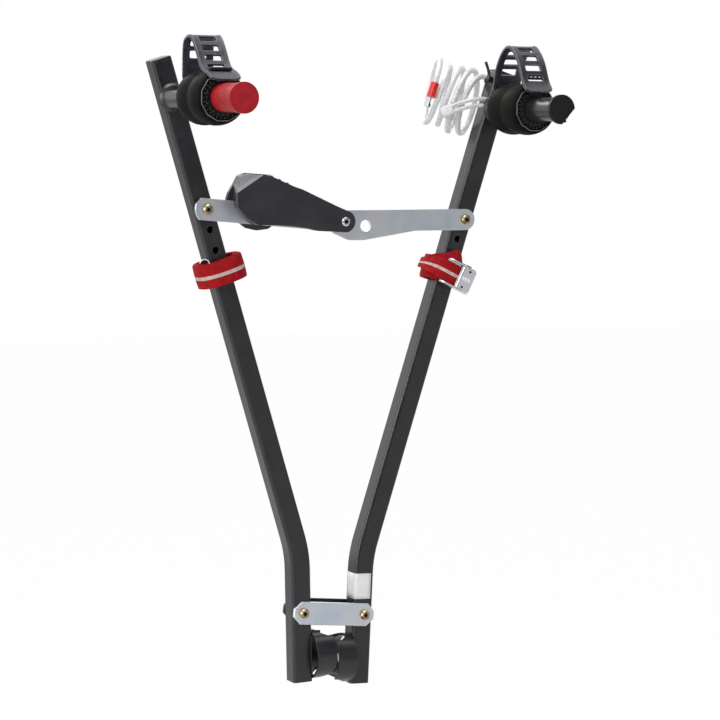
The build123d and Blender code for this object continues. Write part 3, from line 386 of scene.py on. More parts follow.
def mouldedBlack(name):
    finish = {**blackBase, **blackKinds[name]}
    material, tree, shader = newMaterial(name)
    spot = objectSpot(tree)
    broad = noiseAt(tree, spot, finish["patchScale"], detail=4)
    grain = noiseAt(tree, spot, finish["grainScale"], detail=2, rough=0.6)
    bevel = softEdges(tree, finish["edge"])
    tone = mottle(tree, broad, finish["dark"], finish["light"])
    # paler edges: painted highlight mixed with wear
    edge = edgeMask(tree, bevel, finish["wearAndSheenSpan"])
    wearSheenShare = remap(tree, edge.outputs[0], 0, 1, 0, finish["rubbedAndLit"])
    colour = mixColour(tree, wearSheenShare.outputs[0], tone.outputs[0], finish["wearAndSheen"])
    bump = bumpFrom(tree, grain.outputs["Fac"], finish["bump"], finish["grainDepth"], bevel)
    roughness = [finish["roughness"] + drift for drift in finish["roughnessDrift"]]
    wire(tree, vary(tree, broad, roughness), shader, "Roughness")
    setShader(tree, shader, finish, colour, bump)
    return material


def gripRubber():
    finish = {
        "deep": (0.29, 0.003, 0.008), "bright": (0.43, 0.006, 0.014), "toneSpan": (0.3, 0.68),
        "cloudScale": 120, "roughness": 0.46, "shine": 0.35, "edge": 0.6,
        "ringPitch": 1.9, "ringDepth": 0.25, "ringBump": 0.7,
        "grainScale": 1900, "grainDepth": 0.05, "grainBump": 0.3,
    }
    material, tree, shader = newMaterial("gripRubber")
    rings = addNode(tree, "ShaderNodeTexWave", Scale=1 / (finish["ringPitch"] * mm) / math.tau, Distortion=0)
    rings.bands_direction = "Y"
    tree.links.new(objectSpot(tree, (0, 1, 0)).outputs[0], rings.inputs["Vector"])
    cloud = noiseAt(tree, objectSpot(tree), finish["cloudScale"], detail=3)
    tone = mottle(tree, cloud, finish["deep"], finish["bright"], finish["toneSpan"])
    grain = noiseAt(tree, objectSpot(tree), finish["grainScale"], detail=2)
    bevel = softEdges(tree, finish["edge"])
    ribs = bumpFrom(tree, rings.outputs["Fac"], finish["ringBump"], finish["ringDepth"], bevel)
    bump = bumpFrom(tree, grain.outputs["Fac"], finish["grainBump"], finish["grainDepth"], ribs)
    setShader(tree, shader, finish, tone, bump)
    return material


# the webbing's uv runs in metres along the strap, and from 0 to 1 across it
def webbingWeave():
    finish = {
        "red": (0.62, 0.008, 0.014), "redDark": (0.34, 0.003, 0.006), "threadSpan": (0.0, 0.55),
        "stripe": (0.74, 0.60, 0.57), "stripeWidth": 0.15, "stripeMiddle": 0.47, "stripeBlur": 0.012,
        "width": 30.0, "ribs": 34, "warpWander": 0.4, "weftWander": 0.6, "threadDepth": 0.3, "bump": 0.8,
        "darkMottle": (0.62, 0.62, 0.62), "lightMottle": (1.0, 1.0, 1.0), "mottleScale": 170,
        "roughness": 0.75, "shine": 0.2,
    }
    material, tree, shader = newMaterial("webbingWeave")
    coords = tree.nodes.new("ShaderNodeTexCoord")
    split = tree.nodes.new("ShaderNodeSeparateXYZ")
    tree.links.new(coords.outputs["UV"], split.inputs[0])
    across = combine(tree, "SUBTRACT", split.outputs["Y"], finish["stripeMiddle"])
    away = combine(tree, "ABSOLUTE", across)
    edge, blur = finish["stripeWidth"] / 2, finish["stripeBlur"]
    stripe = remap(tree, away.outputs[0], edge - blur, edge + blur, 1, 0)
    stretched = tree.nodes.new("ShaderNodeMapping")
    stretched.inputs["Scale"].default_value = (1 / (finish["width"] * mm), 1, 1)
    tree.links.new(coords.outputs["UV"], stretched.inputs["Vector"])
    threads = []
    for direction, wander in (("Y", finish["warpWander"]), ("X", finish["weftWander"])):
        thread = addNode(tree, "ShaderNodeTexWave", Scale=finish["ribs"] * 2 / math.tau, Distortion=wander)
        thread.bands_direction = direction
        tree.links.new(stretched.outputs[0], thread.inputs["Vector"])
        threads.append(thread.outputs["Fac"])
    weave = combine(tree, "MULTIPLY", *threads)
    tone = ramp(tree, weave.outputs[0], list(zip(finish["threadSpan"], (finish["redDark"], finish["red"]))))
    # random darker patches over the webbing
    cloud = noiseAt(tree, objectSpot(tree), finish["mottleScale"], detail=4)
    darkMottle = mottle(tree, cloud, finish["darkMottle"], finish["lightMottle"])
    mottled = tree.nodes.new("ShaderNodeMix")
    mottled.data_type, mottled.blend_type = "RGBA", "MULTIPLY"
    mottled.inputs[0].default_value = 1
    wire(tree, mixColour(tree, stripe.outputs[0], tone.outputs[0], finish["stripe"]), mottled.inputs[6])
    wire(tree, darkMottle.outputs[0], mottled.inputs[7])
    bump = bumpFrom(tree, weave.outputs[0], finish["bump"], finish["threadDepth"])
    setShader(tree, shader, finish, mottled.outputs[2], bump)
    return material


def cableSheath():
    finish = {
        "shade": (0.58, 0.58, 0.60), "clear": (0.93, 0.93, 0.94), "toneSpan": (0.30, 0.56),
        "strandScale": 300, "strandDepth": 0.1, "bump": 0.15, "roughness": 0.22, "seeThrough": 0.2,
        "coat": 0.4, "coatRoughness": 0.15,
    }
    material, tree, shader = newMaterial("cableSheath")
    strands = noiseAt(tree, objectSpot(tree), finish["strandScale"], detail=3, rough=0.6, distortion=1.6)
    tone = mottle(tree, strands, finish["shade"], finish["clear"], finish["toneSpan"])
    bump = bumpFrom(tree, strands.outputs["Fac"], finish["bump"], finish["strandDepth"])
    setShader(tree, shader, finish, tone, bump)
    return material


finishes = {
    "coat": powderCoat(), "zinc": zincSheet(), "buckleZinc": zincSheet("buckleZinc", brightness=1.2),
    "yellowZinc": yellowZinc(), "grip": gripRubber(), "webbing": webbingWeave(), "cable": cableSheath(),
    **{kind: cloudedFinish(kind) for kind in cloudedKinds},
    **{kind: mouldedBlack(kind) for kind in blackKinds},
}

finishNodes = {
    "coat": ("left_upright", "right_upright", "left_support_arm", "right_support_arm", "left_ball_cup",
             "right_ball_cup"),
    "zinc": ("front_pivot_plate", "pivot_sleeves", "left_link", "right_link", "left_link_spacer",
             "right_link_washer"),
    "buckleZinc": ("buckle_frame", "buckle_cam"),
    "yellowZinc": ("pivot_bolts", "pivot_nuts", "left_link_bolt", "right_link_bolt", "left_link_nut",
                   "right_link_nut"),
    "brightSteel": ("handle_screws", "knee_rivet_front", "knee_rivet_back", "buckle_pin", "cable_clasp"),
    "grip": ("left_grip",),
    "redSleeve": ("cable_end_sleeve",),
    "cable": ("lanyard_clip",),
    "handlePlastic": ("lever_handle",),
    "blackPlastic": ("left_top_plug", "right_top_plug", "left_cradle_core", "right_cradle_core",
                     "right_end_cap", "cable_ferrule", "cable_tie"),
    "blackPlate": ("back_pivot_plate",),
}
for finishName, nodeNames in finishNodes.items():
    for nodeName in nodeNames:
        mesh = nodes[nodeName].data
        mesh.materials.clear()
        mesh.materials.append(finishes[finishName])
print("materials made")


# small mesh helpers
def meshPiece(name, points, faces, finish, body, smooth=True, uvs=None):
    mesh = bpy.data.meshes.new(name)
    mesh.from_pydata([tuple(point) for point in points], [], faces)
    mesh.update()
    if uvs is not None:
        layer = mesh.uv_layers.new(name="along")
        for loop in mesh.loops:
            layer.data[loop.index].uv = uvs[loop.vertex_index]
    for polygon in mesh.polygons:
        polygon.use_smooth = smooth
    mesh.materials.append(finishes[finish])
    piece = addObject(name, mesh)
    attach(piece, body)
    return piece


def addModifier(piece, kind, **values):
    modifier = piece.modifiers.new(kind.title(), kind)
    for name, value in values.items():
        setattr(modifier, name, value)


def gridFaces(rows, columns):
    return [(i * columns + j, i * columns + j + 1, (i + 1) * columns + j + 1, (i + 1) * columns + j)
            for i in range(rows - 1) for j in range(columns - 1)]


def ringFaces(rows, columns):  # the same grid, closed both ways
    return [(i * columns + j, i * columns + (j + 1) % columns,
             (i + 1) % rows * columns + (j + 1) % columns, (i + 1) % rows * columns + j)
            for i in range(rows) for j in range(columns)]


def headings(line):  # the direction of travel at each point
    last = len(line) - 1
    return [(line[min(i + 1, last)] - line[max(i - 1, 0)]).normalized() for i in range(last + 1)]


# cords: the coiled lock cable and the lanyard's two strands, in millimetres and degrees
cableRoute = {
    "diameter": 7.1, "radius": 38.3, "swellShare": 0.06, "swells": 1.5, "pitch": 14.6, "turns": 4.46,
    "tilt": 17.0, "yaw": 26.2, "fanStart": -8.0, "fanEnd": 24.0, "centre": (185.5, 50.0, 675.0),
    "startAngle": 76.0, "turnStep": 0.001, "pointsPerTurn": 16,
}
strandRoute = {
    "diameter": 5.0, "bend": 15.0, "angle": 41.0, "length": 42.0, "y": -4.5, "reach": 9.0,
    "heights": (576.5, 568.0),
}


def coilFrame():
    tilt, yaw = math.radians(cableRoute["tilt"]), math.radians(cableRoute["yaw"])
    axis = Vector((math.cos(yaw) * math.cos(tilt), -math.sin(yaw) * math.cos(tilt), -math.sin(tilt)))
    up = (Vector((0, 0, 1)) - axis * axis.z).normalized()
    return Vector(cableRoute["centre"]) * mm, axis, up, axis.cross(up)


def coilPoint(turns, widen=1.0):
    r = cableRoute
    centre, axis, up, near = coilFrame()
    share = turns / r["turns"]
    angle = math.radians(r["startAngle"] - 360 * turns)
    fan = math.radians(between(r["fanStart"], r["fanEnd"], share))
    side = near * math.cos(fan) - axis * math.sin(fan)
    reach = r["radius"] * (1 + r["swellShare"] * math.cos(2 * math.pi * r["swells"] * share)) * widen
    along = r["pitch"] * (turns - r["turns"] / 2)
    return centre + axis * along * mm + (up * math.cos(angle) + side * math.sin(angle)) * reach * mm


def coilHeading(turns):
    step = cableRoute["turnStep"]
    return (coilPoint(turns + step) - coilPoint(turns - step)).normalized()


def cordPiece(name, points, diameter, node, body):
    curve = bpy.data.curves.new(name, "CURVE")
    curve.dimensions = "3D"
    spline = curve.splines.new("NURBS")
    spline.points.add(len(points) - 1)
    for point, spot in zip(spline.points, points):
        point.co = (*spot, 1)
    spline.order_u = 3
    spline.use_endpoint_u = True
    spline.resolution_u = 6
    curve.bevel_depth = diameter / 2
    curve.bevel_resolution = 5
    curve.use_fill_caps = True
    curve.materials.append(finishes["cable"])
    piece = addObject(name, curve)
    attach(piece, body)
    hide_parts(node)
    return piece


def lineLength(piece):
    bare = piece.data.copy()
    bare.bevel_depth = 0
    probe = bpy.data.objects.new("probe", bare)
    mesh = bpy.data.meshes.new_from_object(probe)
    spots = [vertex.co.copy() for vertex in mesh.vertices]
    total = sum((second - first).length for first, second in zip(spots, spots[1:]))
    bpy.data.meshes.remove(mesh)
    bpy.data.objects.remove(probe)
    bpy.data.curves.remove(bare)
    return total


def makeCoil():
    turns, thick = cableRoute["turns"], cableRoute["diameter"] * mm
    steps = int(turns * cableRoute["pointsPerTurn"])
    widen = 1 / math.cos(math.pi * turns / steps)
    points = [coilPoint(0) - coilHeading(0) * thick, coilPoint(0)]
    points += [coilPoint(turns * (i + 0.5) / steps, widen) for i in range(steps)]
    points += [coilPoint(turns), coilPoint(turns) + coilHeading(turns) * thick]
    points.reverse()
    coil = cordPiece("lockCable", points, thick, "lock_cable", "right_arm")
    lineLength(coil)


def makeStrands():
    _, axis, up, _ = coilFrame()
    turn = math.radians(strandRoute["angle"])
    heading = axis * math.cos(turn) + up * math.sin(turn)
    inward = inwardAxis(1, layout["upperLean"])
    thick = strandRoute["diameter"] * mm
    reach = strandRoute["bend"] * math.tan(heading.angle(-inward) / 2) * mm + thick
    deep = Vector((0, strandRoute["y"] * mm, 0))
    for count, height in enumerate(strandRoute["heights"], 1):
        hole = upperPoint(1, height) + inward * layout["tubeSize"] / 2 * mm + deep
        corner = hole + inward * reach
        start = corner - heading * strandRoute["length"] * mm
        inner = hole - inward * strandRoute["reach"] * mm
        strand = cordPiece(f"lanyardStrand{count}", [inner, corner, start], thick,
                           f"lanyard_strand_{count}", "right_arm")
        lineLength(strand)


makeCoil()
makeStrands()
print("cords laid")

# red webbing wound round the uprights
webbingWrap = {
    "width": 30.0, "layers": 7, "sheet": 1.25, "steps": 72, "startAngle": 135.0,
    "innerHalf": 20.6, "outerHalf": 29.4, "innerFront": 13.7, "outerFront": 27.3,
    "innerBack": 13.7, "outerBack": 19.3, "squareness": 2.6, "rise": 1.3, "crown": 0.6, "columns": 9,
    "heights": {"left": 357.0, "right": 360.0}, "shift": {"left": 1.4, "right": 1.6},
    "seeds": {"left": 11, "right": 23},
}


def crossFrame(side, height):
    lean = math.radians(layout["upperLean"])
    across = Vector((math.cos(lean), 0, -side * math.sin(lean)))
    return upperPoint(side, height), across, leanAxis(side, layout["upperLean"])


def ribbon(name, centres, outs, ups, width, sheet, finish, body, columns=9, crown=0.0, edgeShare=0.3):
    points, uvs, run = [], [], 0.0  # the width lies along ups, and the crown bulges towards outs
    for i, centre in enumerate(centres):
        if i:
            run += (centre - centres[i - 1]).length
        for j in range(columns):
            share = j / (columns - 1)
            lift = crown * (1 - (2 * share - 1) ** 2)
            points.append(centre + ups[i] * width * (share - 0.5) + outs[i] * lift)
            uvs.append((run, share))
    piece = meshPiece(name, points, gridFaces(len(centres), columns), finish, body, uvs=uvs)
    addModifier(piece, "SOLIDIFY", thickness=sheet, offset=0)
    addModifier(piece, "BEVEL", width=sheet * edgeShare, segments=2, limit_method="ANGLE")
    return piece


def squaredTurn(angle, squareness):  # a point on a ring of radius 1 with flattened sides
    power = 2 / squareness
    across, deep = math.cos(angle), math.sin(angle)
    return math.copysign(abs(across) ** power, across), math.copysign(abs(deep) ** power, deep)


def woundWebbing(name, side):
    w = webbingWrap
    rng = random.Random(w["seeds"][name])
    origin, across, up = crossFrame(side, w["heights"][name])
    wobble = [rng.uniform(-w["rise"], w["rise"]) for _ in range(w["layers"] + 2)]
    centres = []
    for i in range(w["layers"] * w["steps"] + 1):
        turn = i / w["steps"]
        share = turn / w["layers"]
        x, y = squaredTurn(2 * math.pi * turn + math.radians(w["startAngle"]), w["squareness"])
        face = "Front" if y < 0 else "Back"
        x *= between(w["innerHalf"], w["outerHalf"], share)
        y *= between(w["inner" + face], w["outer" + face], share)
        layer = int(turn)
        lift = between(wobble[layer], wobble[layer + 1], turn - layer)
        centres.append(origin + (across * (x + w["shift"][name]) + Vector((0, y, 0)) + up * lift) * mm)
    outs = [ahead.cross(up) for ahead in headings(centres)]
    piece = ribbon(f"{name}Webbing", centres, outs, [up] * len(centres), (w["width"] - 2 * w["rise"]) * mm,
                   w["sheet"] * mm, "webbing", f"{name}_arm", w["columns"], w["crown"] * mm)
    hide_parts(f"{name}_webbing")


for sideName, sideSign in sides:
    woundWebbing(sideName, sideSign)
print("webbing wound")

# the webbing's tail through the buckle, its path given along the buckle's frame and front to back
buckleTail = {
    "angle": 26.0, "out": 3.0, "drop": 5.0, "height": 360.0, "width": 25.0, "sheet": 1.4,
    "taper": 0.5, "taperShare": 1.3,
    "path": ((-36.6, 6.0), (-37.0, -6.0), (-36.4, -15.0), (-33.4, -24.0), (-27.0, -29.4), (-19.0, -31.0),
             (8.5, -31.0)),
}


def smoothPath(points, perRun=8):  # a line that passes through every point
    padded = [points[0] * 2 - points[1], *points, points[-1] * 2 - points[-2]]
    line = []
    for i in range(1, len(padded) - 2):
        a, b, c, d = padded[i - 1:i + 3]
        for k in range(perRun):
            t = k / perRun
            bend = (2 * a - 5 * b + 4 * c - d) * t * t + (3 * b - a - 3 * c + d) * t ** 3
            line.append(0.5 * ((2 * b) + (c - a) * t + bend))
    line.append(points[-1])
    return line


def buckleFrame():
    turn = math.radians(buckleTail["angle"])
    along = Vector((math.cos(turn), 0, -math.sin(turn)))
    across = Vector((math.sin(turn), 0, math.cos(turn)))
    offset = Vector((buckleTail["out"], 0, -buckleTail["drop"])) * mm
    return upperPoint(1, buckleTail["height"]) + offset, along, across


def makeTail():
    centre, along, across = buckleFrame()
    line = smoothPath([centre + along * u * mm + Vector((0, y * mm, 0)) for u, y in buckleTail["path"]])
    outs = [ahead.cross(across) for ahead in headings(line)]
    widths = [min(1.0, buckleTail["taper"] + i / len(line) / buckleTail["taperShare"])
              for i in range(len(line))]
    tail = ribbon("buckleTail", line, outs, [across * width for width in widths],
                  buckleTail["width"] * mm, buckleTail["sheet"] * mm, "webbing", "right_arm")


makeTail()
print("buckle tail threaded")

# ladder straps, each one soft sheet with rounded slots along its route
ladderStrap = {
    "width": 36.6, "thickness": 3.4, "rim": 0.9, "edge": 2.6, "bevel": 0.9,
    "slots": 8, "pitch": 13.6, "slotWidth": 20.4, "slotHeight": 8.2, "corner": 2.2,
    "cradleLength": 70.0, "cradleRadius": 31.0, "push": 0.16, "perRun": 24, "bow": 5.0, "tongue": 15.0,
    "hookBevel": 1.3, "speck": (2.6, 0.8, 0.9), "speckPitch": 5.6, "speckBevel": 0.2,
}
# each strap's side view in shares of the cradle's length and radius, and its hook's head
strapSides = {
    "left": {
        "back": 89.0, "hook": 21.2, "headAt": (61.6, 31.4), "headLean": -14.0, "headSize": (26.5, 4.6, 4.0),
        "specks": 0,
        "route": ((-0.057, 0.60), (-0.057, 1.81), (0.043, 2.10), (0.257, 2.19), (0.429, 1.84),
                  (0.630, 1.22), (0.745, 0.99), (0.930, 0.87), (1.000, 0.81), (1.150, 0.60)),
    },
    "right": {
        "back": 41.0, "hook": 22.6, "headAt": (65.6, 36.9), "headLean": -62.0, "headSize": (20.5, 4.6, 3.2),
        "specks": 3,
        "route": ((-0.030, 0.60), (-0.030, 0.95), (0.071, 1.61), (0.271, 2.19), (0.493, 2.38),
                  (0.714, 2.02), (0.840, 1.64), (0.930, 1.20), (1.010, 0.88), (1.150, 0.62)),
    },
}


def bendLine(points, perRun):  # quadratic spline through the middles of the runs
    line = []
    for i in range(1, len(points) - 1):
        start = points[0] if i == 1 else (points[i - 1] + points[i]) / 2
        end = points[-1] if i == len(points) - 2 else (points[i] + points[i + 1]) / 2
        for k in range(perRun):
            t = k / perRun
            line.append(start * (1 - t) ** 2 + points[i] * 2 * t * (1 - t) + end * t * t)
    line.append(points[-1])
    return line


def spotAlong(line, runs, distance):  # a point of the line, and the way out from it
    i = 1
    while i < len(runs) - 1 and runs[i] < distance:
        i += 1
    share = (distance - runs[i - 1]) / (runs[i] - runs[i - 1])
    ahead = (line[i] - line[i - 1]).normalized()
    return line[i - 1].lerp(line[i], share), Vector((-ahead.y, ahead.x))


def strapLine(own):  # the strap seen from its side, and how far along it each point lies
    kit = ladderStrap
    route = [Vector((x * kit["cradleLength"], y * kit["cradleRadius"])) for x, y in own["route"]]
    pushed = [route[0]]
    for before, here, after in zip(route, route[1:], route[2:]):
        pushed.append(here + (here - (before + after) / 2) * kit["push"])
    line = bendLine([*pushed, route[-1]], kit["perRun"])
    runs = [0.0]
    for first, second in zip(line, line[1:]):
        runs.append(runs[-1] + (second - first).length)
    return line, runs


def strapRows(own, total):  # the rows of points along the strap, and those that open into a slot
    kit = ladderStrap
    stops, openRows = [0.0], []
    for k in reversed(range(kit["slots"])):
        centre = total - own["hook"] - kit["pitch"] * k
        start, end = centre - kit["slotHeight"] / 2, centre + kit["slotHeight"] / 2
        stops += [(stops[-1] + start) / 2, start, start + kit["corner"], end - kit["corner"], end]
        openRows += [len(stops) - 4, len(stops) - 3, len(stops) - 2]
    stops += [(stops[-1] * 2 + total) / 3, (stops[-1] + total * 2) / 3, total]
    return stops, openRows


def makeStrap(name, side):
    kit, own = ladderStrap, strapSides[name]
    line, runs = strapLine(own)
    total = runs[-1]
    stops, openRows = strapRows(own, total)
    half, slot = kit["width"] / 2, kit["slotWidth"] / 2
    near = slot - kit["corner"]
    columns = (-half, -half + kit["edge"], -slot, -near, near, slot, half - kit["edge"], half)
    openColumns = (2, 3, 4)  # the cells between a slot's sides
    root = upperPoint(side, layout["supportHeight"])
    points = []
    for stop in stops:
        ending = max(0.0, 1 - (total - stop) / kit["tongue"])
        for u in columns:
            spot, out = spotAlong(line, runs, stop - kit["bow"] * ending * (u / half) ** 2)
            lifted = spot + out * (kit["rim"] if abs(u) == half else 0)
            points.append(root + Vector((u, -own["back"] - lifted.x, lifted.y)) * mm)
    cells = len(columns) - 1
    faces = [face for k, face in enumerate(gridFaces(len(stops), len(columns)))
             if not (k // cells in openRows and k % cells in openColumns)]
    strap = meshPiece(f"{name}Strap", points, faces, "strapRubber", f"{name}_cradle_body")
    addModifier(strap, "SUBSURF", levels=2, render_levels=2)
    addModifier(strap, "SOLIDIFY", thickness=kit["thickness"] * mm, offset=0)
    addModifier(strap, "BEVEL", width=kit["bevel"] * mm, segments=3, limit_method="ANGLE")
    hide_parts(f"{name}_strap")
    makeStrapHook(name, root, own)


def makeStrapHook(name, root, own):  # the head over the strap, and the pale specks in it
    kit, lean = ladderStrap, math.radians(own["headLean"])
    middle = root + Vector((0, -own["back"] - own["headAt"][0], own["headAt"][1])) * mm
    blocks = [(f"{name}StrapHook", "hookRubber", 0.0, 0.0, own["headSize"], kit["hookBevel"])]
    # the pale specks are painted highlights: glints on the hook's ribs
    for k in range(own["specks"]):
        along = (k - (own["specks"] - 1) / 2) * kit["speckPitch"]
        blocks.append((f"{name}HookGlint{k + 1}", "paleLabelAndGlint", along, own["headSize"][2] / 2, kit["speck"],
                       kit["speckBevel"]))
    faces = [(0, 2, 3, 1), (4, 5, 7, 6), (0, 1, 5, 4), (2, 6, 7, 3), (0, 4, 6, 2), (1, 3, 7, 5)]
    c, s = math.cos(lean), math.sin(lean)
    for blockName, finish, along, lift, size, bevel in blocks:
        wide, deep, tall = (length / 2 for length in size)
        corners = [(x * wide + along, y * deep, z * tall + lift)
                   for x in (-1, 1) for y in (-1, 1) for z in (-1, 1)]
        turned = [middle + Vector((x, -y * c + z * s, y * s + z * c)) * mm for x, y, z in corners]
        block = meshPiece(blockName, turned, faces, finish, f"{name}_cradle_body")
        addModifier(block, "BEVEL", width=bevel * mm, segments=3)


for sideName, sideSign in sides:
    makeStrap(sideName, sideSign)
print("straps moulded")

# rubber cradles: a waisted body, then a twelve-sided collar with a pale rim and a ring of pale dots, both
# painted highlight
cradleForm = {
    "bore": 17.5, "end": 27.6, "lobe": 31.0, "waist": 28.0, "face": 28.5, "body": 66.0,
    "segments": 64, "arcSteps": 8, "sides": 12,
    "collar": ((21.0, 65.6), (26.6, 65.6), (26.6, 69.3), (26.0, 70.0), (25.0, 70.0), (24.4, 69.4),
               (24.4, 68.8), (21.0, 68.8)),
    "rim": ((26.3, 69.2), (26.75, 69.3), (26.75, 69.8), (26.45, 70.15), (26.0, 70.15), (25.8, 69.9)),
    "dots": 30, "dotRing": 22.6, "dotSize": (1.0, 0.8, 0.35), "dotFace": 68.8, "dotSink": 0.1,
}


def lathePoints(root, back, profile, segments, first):
    points = []
    for k in range(segments):
        angle = math.radians(first) + 2 * math.pi * k / segments
        points += [root + Vector((reach * math.cos(angle), -back - along, reach * math.sin(angle))) * mm
                   for reach, along in profile]
    return points


def cradleProfile():  # two lobes with a waist between them, round the bore
    form = cradleForm
    half = form["body"] / 2
    profile = [(form["bore"], form["body"]), (form["bore"], 0.0)]
    for lobe, (start, stop) in enumerate(((form["end"], form["waist"]), (form["waist"], form["face"]))):
        swell = form["lobe"] - (start + stop) / 2
        for k in range(form["arcSteps"] + (lobe == 1)):
            t = k / form["arcSteps"]
            profile.append((between(start, stop, t) + swell * 4 * t * (1 - t), half * (lobe + t)))
    return profile


def makeCradle(name, side):
    form = cradleForm
    root, back = upperPoint(side, layout["supportHeight"]), strapSides[name]["back"]
    rings = (("Cradle", cradleProfile(), form["segments"], "cradleRubber", True),
             ("Collar", form["collar"], form["sides"], "cradleRubber", False),
             # a pale ring on the collar's edge: painted highlight
             ("CollarRimHighlight", form["rim"], form["sides"], "paintedRubberHighlight", False))
    for ringName, outline, segments, finish, smooth in rings:
        points = lathePoints(root, back, outline, segments, 180 / form["sides"])
        piece = meshPiece(name + ringName, points, ringFaces(segments, len(outline)), finish,
                          f"{name}_cradle_body", smooth)
        if ringName == "Cradle":
            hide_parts(f"{name}_cradle")


def makeCollarDots(name, side):
    form = cradleForm
    root, back = upperPoint(side, layout["supportHeight"]), strapSides[name]["back"]
    points, faces = [], []
    long, wide, tall = form["dotSize"]
    for k in range(form["dots"]):
        angle = 2 * math.pi * k / form["dots"]
        out = Vector((math.cos(angle), 0, math.sin(angle)))
        turn = Vector((-math.sin(angle), 0, math.cos(angle)))
        count = len(points)
        for lift in (-form["dotSink"], tall):
            for a, b in ((-1, -1), (1, -1), (1, 1), (-1, 1)):
                spot = out * (form["dotRing"] + a * long / 2) + turn * b * wide / 2
                points.append(root + (spot + Vector((0, -back - form["dotFace"] - lift, 0))) * mm)
        faces += [tuple(count + i for i in face) for face in
                  ((0, 1, 2, 3), (4, 7, 6, 5), (0, 4, 5, 1), (1, 5, 6, 2), (2, 6, 7, 3), (3, 7, 4, 0))]
    dots = meshPiece(f"{name}CollarDots", points, faces, "paintedRubberHighlight", f"{name}_cradle_body", False)


for sideName, sideSign in sides:
    makeCradle(sideName, sideSign)
    makeCollarDots(sideName, sideSign)
print("cradles turned")

# painted shade: dark discs in the bolts' sockets and the knee rivet, where shade falls
hollows = {
    "radius": 2.5, "sides": 6, "socket": 2.6, "lift": 0.2, "thick": 0.3,
    "kneeRadius": 2.7, "kneeSides": 24, "kneeDip": 1.2,
}


# a dark disc of painted shade, standing in for the shade in a hollow
def makeShadeDisc(name, middle, radius, corners, body):
    points = []
    for k in range(corners):
        angle = 2 * math.pi * k / corners
        points.append(middle + Vector((radius * math.cos(angle), 0, radius * math.sin(angle))) * mm)
    piece = meshPiece(name, points, [tuple(range(corners))], "paintedRecessShade", body, False)
    addModifier(piece, "SOLIDIFY", thickness=hollows["thick"] * mm, offset=0)


def headMiddle(node, depth):  # in the middle of a head, depth behind its front
    low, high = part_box(node)
    return Vector(((low[0] + high[0]) / 2, low[1] + (depth - hollows["lift"]) * mm, (low[2] + high[2]) / 2))


def makeSocketShades():
    for name, side in sides:
        middle = headMiddle("pivot_bolts", hollows["socket"])
        pivot = lowerPoint(side, 0)
        makeShadeDisc(f"{name}PivotSocketShade", Vector((pivot.x, middle.y, pivot.z)), hollows["radius"],
                   hollows["sides"], "clamp_plates")
        makeShadeDisc(f"{name}LinkSocketShade", headMiddle(f"{name}_link_bolt", hollows["socket"]),
                   hollows["radius"], hollows["sides"], f"{name}_arm")
    makeShadeDisc("kneeDip", headMiddle("knee_rivet_front", hollows["kneeDip"]), hollows["kneeRadius"],
               hollows["kneeSides"], "left_link_lever")


makeSocketShades()
print("sockets shaded")

# painted highlight: a paler copy of the solid's own facet on the bevel along the handle's shoulder, where
# the light from above falls
handleBevelHighlight = {"normal": (-0.36, -0.75, 0.56), "spread": 0.985, "lift": 0.1}


def makeHandleBevelHighlight():
    source = nodes["lever_handle"]
    turn = source.matrix_world.to_3x3()
    wanted = Vector(handleBevelHighlight["normal"]).normalized()
    points, faces = [], []
    for polygon in source.data.polygons:
        normal = (turn @ polygon.normal).normalized()
        if normal.dot(wanted) < handleBevelHighlight["spread"]:
            continue
        faces.append(tuple(range(len(points), len(points) + len(polygon.vertices))))
        points += [source.matrix_world @ source.data.vertices[i].co + normal * handleBevelHighlight["lift"] * mm
                   for i in polygon.vertices]
    edge = meshPiece("handleBevelHighlight", points, faces, "handleBevelHighlight", "left_link_lever", False)


makeHandleBevelHighlight()
print("handle edge rubbed")

# the stripe's end and two slots on the buckle's plate, drawn as dark discs of painted shade, placed along
# and across the buckle
plateMarks = {
    "stripe": ((3.2, 0.4), (15.0, 0.2)), "stripeWidth": 4.2, "stripeSteps": 6, "sheet": 0.5, "crown": 0.3,
    "slots": ((10.1, 10.6), (7.4, -10.4)), "slotRadius": 1.5, "slotSides": 12, "front": -38.0,
}


def makePlateMarks():
    centre, along, across = buckleFrame()

    def spot(u, v):
        return Vector((centre.x, plateMarks["front"] * mm, centre.z)) + (along * u + across * v) * mm

    start, end = (spot(u, v) for u, v in plateMarks["stripe"])
    steps = plateMarks["stripeSteps"]
    line = [start.lerp(end, k / steps) for k in range(steps + 1)]
    stripe = ribbon("plateStripe", line, [Vector((0, -1, 0))] * len(line), [across] * len(line),
                    plateMarks["stripeWidth"] * mm, plateMarks["sheet"] * mm, "paleLabelAndGlint", "cam",
                    crown=plateMarks["crown"] * mm)
    for count, (u, v) in enumerate(plateMarks["slots"], 1):
        makeShadeDisc(f"plateSlotShade{count}", spot(u, v), plateMarks["slotRadius"], plateMarks["slotSides"],
                   "cam")


makePlateMarks()
print("buckle plate marked")

# crumpled fold of webbing over the right band, its upper and lower edge seen from the front
foldForm = {
    "top": ((121.0, 483.0), (124.0, 486.0), (130.0, 487.6), (142.0, 487.8), (151.0, 490.0), (158.6, 492.2),
            (163.0, 486.0)),
    "low": ((121.0, 470.0), (124.0, 470.0), (130.0, 470.0), (142.0, 468.0), (151.0, 466.0), (158.0, 464.0),
            (165.0, 462.0)),
    "front": (-14.0, -19.0, -23.4, -25.8, -26.4, -25.6, -23.0), "tuck": 3.0, "creases": 0.8,
    "rows": 6, "sheet": 1.2, "columnWidth": 9.0, "uvShare": 0.36, "seed": 5,
}


